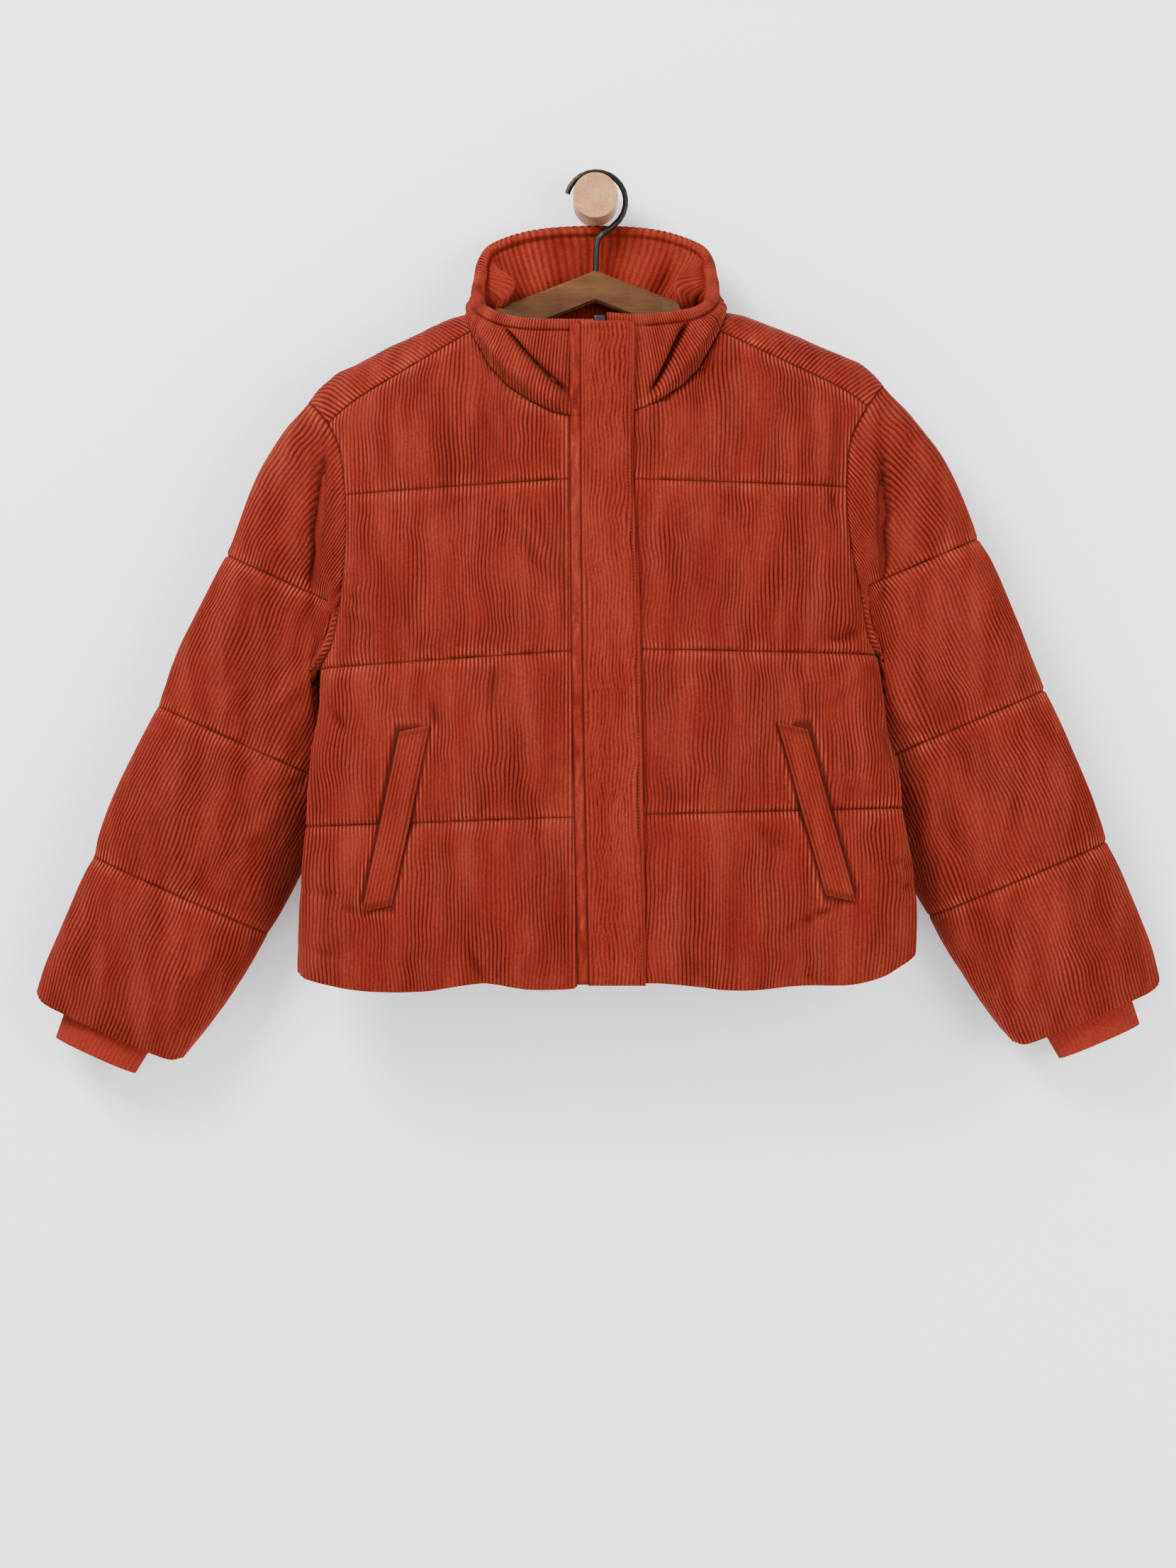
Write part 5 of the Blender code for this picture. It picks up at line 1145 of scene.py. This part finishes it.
def strip_piece(node):
    """The strip beside the flap, from the hem to the neck, or its run up the collar."""
    low, high = STRIP_Z[node]
    z = np.linspace(low, high, 120 if node else 24)
    u = np.concatenate([[0, 0.03], np.linspace(0.07, 0.93, 10), [0.97, 1]])
    x = centre(z)[:, None] - 26.2 + 10.4 * u
    grid_z = z[:, None] + 0 * x
    share = np.clip((grid_z + 198) / 78.0, 0, 1)
    body = torso_depth(x, np.minimum(grid_z, -198.0))
    y = body * (1 - share) + COLLAR_RIM["y"][0] * share - (0.3 if node else 0.5 + 1.9 * smooth((grid_z + 196) / 14))
    edge = np.minimum(u, 1 - u) * 10.4
    thick = 2.4 * np.clip(edge / 2.2, 0.05, 1) ** 0.5 + 0.5 * SOFT(u * 2 + 0 * x, 3 + grid_z / 12)
    base = np.stack([x, y, grid_z], -1)
    outer = base - np.array([0, 1, 0]) * np.maximum(thick, 0.2)[..., None]
    ridge = 0.62 + 0.25 * SOFT(u * 6 + 0 * x, grid_z / 9)
    # Painted shade in the gaps along both edges.
    seam = np.exp(-((edge / 0.8) ** 2)) + 0 * x
    piece = shell("strip_cloth" if node else "strip_top", outer, base, ridge, seam, [node] if node else [])


def welt_piece(side, trees):
    shape, sign = WELTS[side], SHOULDERS[side]["sign"]
    length = math.hypot(shape["high"][0] - shape["low"][0], shape["high"][1] - shape["low"][1])
    v = np.linspace(0, 1, round(length / 4.0))
    u = np.concatenate([[0, 0.02], np.linspace(0.05, 0.95, 30), [0.98, 1]])
    (o1, z1), (o0, z0) = shape["high"], shape["low"]
    out = (o0 * (1 - v) + o1 * v)[:, None] + (u - 0.5) * shape["width"]
    z = (z0 * (1 - v) + z1 * v)[:, None] - (u - 0.5) * 6.0
    coarse_v, coarse_u = v[::4], u[::5]
    depth = np.zeros((len(coarse_v), len(coarse_u)))
    tree = trees[side]
    for i, a in enumerate(coarse_v):
        for j, b in enumerate(coarse_u):
            o = o0 * (1 - a) + o1 * a + (b - 0.5) * shape["width"]
            h = z0 * (1 - a) + z1 * a - (b - 0.5) * 6.0
            hits = []
            for dx in (-6, 0, 6):
                for dz in (-10, 0, 10):
                    start = Vector((sign * (o + dx) * MM, -0.4, (h + dz) * MM))
                    hits.append(tree.ray_cast(start, Vector((0, 1, 0)))[0].y / MM)
            depth[i, j] = min(hits)
    rows = np.array([np.interp(u, coarse_u, row) for row in depth])
    under = np.array([np.interp(v, coarse_v, rows[:, j]) for j in range(len(u))]).T + 0.4
    edge_u = np.minimum(u, 1 - u) * shape["width"]
    edge_v = np.minimum(v, 1 - v)[:, None] * length
    edge = np.minimum(edge_u[None], edge_v)
    wale_w = u * shape["width"] + 0 * v[:, None]
    ridge = np.abs(np.sin(np.pi * wale_w / WALE)) ** 0.7
    lift = (0.8 + 2.2 * u)[None] * np.clip(edge / 2.5, 0.05, 1) ** 0.5
    from_outer = (1 - u)[None] * shape["width"] + 0 * v[:, None]
    stitched = groove(edge_v - 4.0) + groove(u[None] * shape["width"] - 3.0 + 0 * v[:, None])
    bend = 0.7 * SOFT(wale_w / 30, 5 + z / 22)
    height = lift + 0.8 * WALE_HEIGHT * (ridge - 0.5) * smooth(edge / 1.6) + bend * smooth(edge / 8)
    height = height - 0.7 * stitched * smooth(edge / 1.5)
    low = np.stack([sign * out, under, z], -1)
    high = np.stack([sign * out, under - np.maximum(height, 0.15) - 0.4, z], -1)
    # Painted shade along the stitches and in the gap along the welt's outer side.
    seam = np.maximum(0.5 * np.minimum(stitched, 1), np.exp(-((from_outer / 0.9) ** 2)) * 0.4)
    piece = shell(f"welt_{side}_cloth", high, low, 0.75 * ridge, seam, [f"welt_{side}"])


# --- Materials -----------------------------------------------------------------------------------------


def shader(name, colour, roughness, metallic=0.0, sheen=0.0):
    made = bpy.data.materials.new(name)
    made.use_nodes = True
    nodes, links = made.node_tree.nodes, made.node_tree.links
    surface = nodes["Principled BSDF"]
    surface.inputs["Base Color"].default_value = (*colour, 1)
    surface.inputs["Roughness"].default_value = roughness
    surface.inputs["Metallic"].default_value = metallic
    surface.inputs["Sheen Weight"].default_value = sheen
    surface.inputs["Specular IOR Level"].default_value = 0.08 if sheen else 0.2
    return made, nodes, links, surface


def texture(nodes, links, kind, scale, detail=3.0, stretch=(1, 1, 1)):
    """A solid texture in the object's own metres."""
    place = nodes.new("ShaderNodeTexCoord")
    mapping = nodes.new("ShaderNodeMapping")
    mapping.inputs["Scale"].default_value = stretch
    made = nodes.new(kind)
    made.inputs["Scale"].default_value = scale
    if "Detail" in made.inputs:
        made.inputs["Detail"].default_value = detail
    links.new(place.outputs["Object"], mapping.inputs["Vector"])
    links.new(mapping.outputs["Vector"], made.inputs["Vector"])
    return made


def ramp(nodes, links, source, *stops):
    made = nodes.new("ShaderNodeValToRGB")
    band = made.color_ramp
    for stop, (at, colour) in zip(range(len(stops)), stops):
        element = band.elements[stop] if stop < 2 else band.elements.new(at)
        element.position = at
        element.color = (*colour, 1)
    links.new(source, made.inputs["Fac"])
    return made.outputs["Color"]


def mix(nodes, links, way, factor, a, b):
    made = nodes.new("ShaderNodeMix")
    made.data_type = "RGBA"
    made.blend_type = way
    for socket, value in ((made.inputs[0], factor), (made.inputs[6], a), (made.inputs[7], b)):
        if hasattr(value, "is_linked") or isinstance(value, bpy.types.NodeSocket):
            links.new(value, socket)
        elif isinstance(value, tuple):
            socket.default_value = (*value, 1)
        else:
            socket.default_value = value
    return made.outputs[2]


def bump(nodes, links, source, strength, distance, surface):
    made = nodes.new("ShaderNodeBump")
    made.inputs["Strength"].default_value = strength
    made.inputs["Distance"].default_value = distance
    links.new(source, made.inputs["Height"])
    links.new(made.outputs["Normal"], surface.inputs["Normal"])


# Colours of the cloth: the valleys' colour is partly the short nap and partly painted shade, the rubbed colour serves
# both the worn patches and a painted highlight beside the seams, and the last is painted shade for seams, creases,
# stitch lines and gaps.
SHORT_NAP_AND_PAINTED_SHADE, PILE_HIGH = (0.030, 0.0022, 0.0014), (0.166, 0.0136, 0.0061)
RUBBED_AND_PAINTED_HIGHLIGHT, PAINTED_SHADE = (0.30, 0.052, 0.026), (0.042, 0.004, 0.002)


def corduroy():
    made, nodes, links, surface = shader("corduroy", PILE_HIGH, 0.95, sheen=0.04)
    surface.inputs["Sheen Roughness"].default_value = 0.45
    surface.inputs["Sheen Tint"].default_value = (1.0, 0.62, 0.5, 1)
    pile_and_painted_light = nodes.new("ShaderNodeAttribute")
    pile_and_painted_light.attribute_name = "pile_and_painted_light"
    seam = nodes.new("ShaderNodeAttribute")
    seam.attribute_name = "seam"
    # Dark in the wales' valleys, partly painted shade, and light on the ridges beside seams as a painted highlight.
    colour = ramp(nodes, links, pile_and_painted_light.outputs["Fac"], (0.12, SHORT_NAP_AND_PAINTED_SHADE), (0.8, PILE_HIGH), (1.0, RUBBED_AND_PAINTED_HIGHLIGHT))
    patches = texture(nodes, links, "ShaderNodeTexNoise", 22.0, 4.0, (2.4, 2.4, 0.45))
    rubbed = ramp(nodes, links, patches.outputs["Fac"], (0.40, (0, 0, 0)), (0.78, (0.22, 0.22, 0.22)))
    colour = mix(nodes, links, "MIX", rubbed, colour, RUBBED_AND_PAINTED_HIGHLIGHT)
    fuzz = texture(nodes, links, "ShaderNodeTexNoise", 420.0, 3.0)
    speck = ramp(nodes, links, fuzz.outputs["Fac"], (0.3, (0.80, 0.80, 0.80)), (0.72, (1.14, 1.14, 1.14)))
    colour = mix(nodes, links, "MULTIPLY", 1.0, colour, speck)
    # Painted shade wherever the seam attribute is set: in seams, deep creases, stitch lines and gaps.
    colour = mix(nodes, links, "MIX", seam.outputs["Fac"], colour, PAINTED_SHADE)
    links.new(colour, surface.inputs["Base Color"])
    bump(nodes, links, fuzz.outputs["Fac"], 0.5, 0.0005, surface)
    return made


def rib_knit():
    made, nodes, links, surface = shader("rib", (0.17, 0.014, 0.006), 0.9, sheen=0.05)
    fuzz = texture(nodes, links, "ShaderNodeTexNoise", 900.0, 2.0)
    colour = ramp(nodes, links, fuzz.outputs["Fac"], (0.3, (0.12, 0.009, 0.004)), (0.7, (0.22, 0.020, 0.009)))
    links.new(colour, surface.inputs["Base Color"])
    bump(nodes, links, fuzz.outputs["Fac"], 0.5, 0.0006, surface)
    return made


def plain_cloth(name, colour):
    made, nodes, links, surface = shader(name, colour, 0.9, sheen=0.05)
    fuzz = texture(nodes, links, "ShaderNodeTexNoise", 700.0, 3.0)
    dark = tuple(0.7 * c for c in colour)
    links.new(ramp(nodes, links, fuzz.outputs["Fac"], (0.3, dark), (0.7, colour)), surface.inputs["Base Color"])
    bump(nodes, links, fuzz.outputs["Fac"], 0.4, 0.0004, surface)
    return made


def timber(name, light, dark, stretch, scale, roughness):
    made, nodes, links, surface = shader(name, light, roughness)
    grain = texture(nodes, links, "ShaderNodeTexNoise", scale, 6.0, stretch)
    pores = texture(nodes, links, "ShaderNodeTexNoise", scale * 6, 3.0, stretch)
    colour = ramp(nodes, links, grain.outputs["Fac"], (0.32, dark), (0.66, light))
    shade = ramp(nodes, links, pores.outputs["Fac"], (0.36, (0.72, 0.68, 0.62)), (0.52, (1, 1, 1)))
    links.new(mix(nodes, links, "MULTIPLY", 0.8, colour, shade), surface.inputs["Base Color"])
    bump(nodes, links, pores.outputs["Fac"], 0.25, 0.0004, surface)
    return made


def smooth_metal(name, colour, roughness, metallic):
    made, nodes, links, surface = shader(name, colour, roughness, metallic)
    cast = texture(nodes, links, "ShaderNodeTexNoise", 260.0, 3.0)
    low, high = max(roughness - 0.08, 0), roughness + 0.1
    tone = ramp(nodes, links, cast.outputs["Fac"], (0.3, (low,) * 3), (0.7, (high,) * 3))
    links.new(tone, surface.inputs["Roughness"])
    return made


def dress(node, made):
    """Gives a CAD node its finish."""
    mesh = bpy.data.objects[node].data
    mesh.materials.clear()
    mesh.materials.append(made)


# --- Stage ---------------------------------------------------------------------------------------------


def plane(name, corners, made):
    mesh = bpy.data.meshes.new(name)
    mesh.from_pydata(corners, [], [(0, 1, 2, 3)])
    mesh.materials.append(made)
    sheet = bpy.data.objects.new(name, mesh)
    bpy.context.scene.collection.objects.link(sheet)
    return sheet


def wall_paint():
    """Pale paint that is seen from the room and lets light and sight through from behind."""
    made, nodes, links, surface = shader("wall_paint", (0.93, 0.937, 0.94), 0.95)
    clear = nodes.new("ShaderNodeBsdfTransparent")
    side = nodes.new("ShaderNodeNewGeometry")
    choice = nodes.new("ShaderNodeMixShader")
    links.new(side.outputs["Backfacing"], choice.inputs["Fac"])
    links.new(surface.outputs["BSDF"], choice.inputs[1])
    links.new(clear.outputs["BSDF"], choice.inputs[2])
    links.new(choice.outputs["Shader"], nodes["Material Output"].inputs["Surface"])
    return made


def stage():
    far, floor = 4.0, -1.45
    wall = plane("wall", [(-far, 0.001, floor), (far, 0.001, floor), (far, 0.001, 2.6), (-far, 0.001, 2.6)], wall_paint())
    wall.visible_shadow = False  # so that the lamp behind it reaches the jacket's back
    pale = shader("floor_paint", (0.78, 0.79, 0.80), 0.9)[0]
    plane("floor", [(-far, -far, floor), (far, -far, floor), (far, far, floor), (-far, far, floor)], pale)


def lamp(name, place, aim, size, watts):
    light = bpy.data.lights.new(name, "AREA")
    light.size = size
    light.energy = watts
    lamp_object = bpy.data.objects.new(name, light)
    lamp_object.location = place
    way = Vector(aim) - Vector(place)
    lamp_object.rotation_euler = way.to_track_quat("-Z", "Y").to_euler()
    bpy.context.scene.collection.objects.link(lamp_object)


def lights():
    world = bpy.data.worlds.new("room")
    world.use_nodes = True
    world.node_tree.nodes["Background"].inputs["Color"].default_value = (0.95, 0.97, 1.0, 1)
    world.node_tree.nodes["Background"].inputs["Strength"].default_value = 0.95
    bpy.context.scene.world = world
    aim = (0, -0.05, -0.42)
    lamp("key", (-1.5, -1.8, 1.5), aim, 1.2, 180)
    lamp("fill", (1.8, -2.1, -0.3), aim, 1.5, 68)
    lamp("rear", (0.3, 2.4, 0.9), aim, 1.6, 95)


CAMERA_DISTANCE = 3.0
SILHOUETTE_Y = -0.067
VIEW_HEIGHT = 1.3825  # of the whole frame, at the silhouette


def camera():
    made = bpy.data.cameras.new("camera")
    made.sensor_width = 36
    made.lens = made.sensor_width * CAMERA_DISTANCE / VIEW_HEIGHT
    seen = bpy.data.objects.new("camera", made)
    seen.location = (-0.0066, SILHOUETTE_Y - CAMERA_DISTANCE, -0.5225)
    seen.rotation_euler = (math.pi / 2, 0, 0)
    bpy.context.scene.collection.objects.link(seen)
    bpy.context.scene.camera = seen


# --- The scene -----------------------------------------------------------------------------------------

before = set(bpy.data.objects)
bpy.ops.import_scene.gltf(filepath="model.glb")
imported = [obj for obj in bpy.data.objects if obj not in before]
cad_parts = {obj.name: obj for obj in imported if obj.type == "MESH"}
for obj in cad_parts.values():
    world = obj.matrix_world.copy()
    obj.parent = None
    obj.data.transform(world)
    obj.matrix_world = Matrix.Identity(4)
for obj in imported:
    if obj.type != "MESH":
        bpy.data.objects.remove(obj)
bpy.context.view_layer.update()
CORDUROY = corduroy()
THREAD = plain_cloth("thread", (0.22, 0.03, 0.014))

trees = {}
for side in SHOULDERS:
    piece = front_piece(side)
    trees[side] = BVHTree.FromPolygons(
        [v.co for v in piece.data.vertices], [tuple(p.vertices) for p in piece.data.polygons]
    )
back_piece()
for side in SHOULDERS:
    sleeve_piece(side)
    welt_piece(side, trees)
collar_piece()
flap_piece()
for node in STRIP_Z:
    strip_piece(node)
for node, made in (
    ("zip_tape", plain_cloth("tape", (0.14, 0.014, 0.007))),
    ("zip_slider", smooth_metal("gunmetal", (0.035, 0.035, 0.038), 0.4, 0.9)),
    ("hanger", timber("oak", (0.098, 0.037, 0.0078), (0.043, 0.014, 0.0026), (0.12, 1, 1), 55.0, 0.55)),
    ("hanger_hook", smooth_metal("black_wire", (0.004, 0.004, 0.004), 0.45, 0.0)),
    ("wall_peg", timber("pale_wood", (0.41, 0.215, 0.102), (0.32, 0.147, 0.06), (1, 0.12, 1), 90.0, 0.6)),
):
    dress(node, made)
knit = rib_knit()
for side in SHOULDERS:
    dress(f"cuff_{side}", knit)
stage()
lights()
camera()
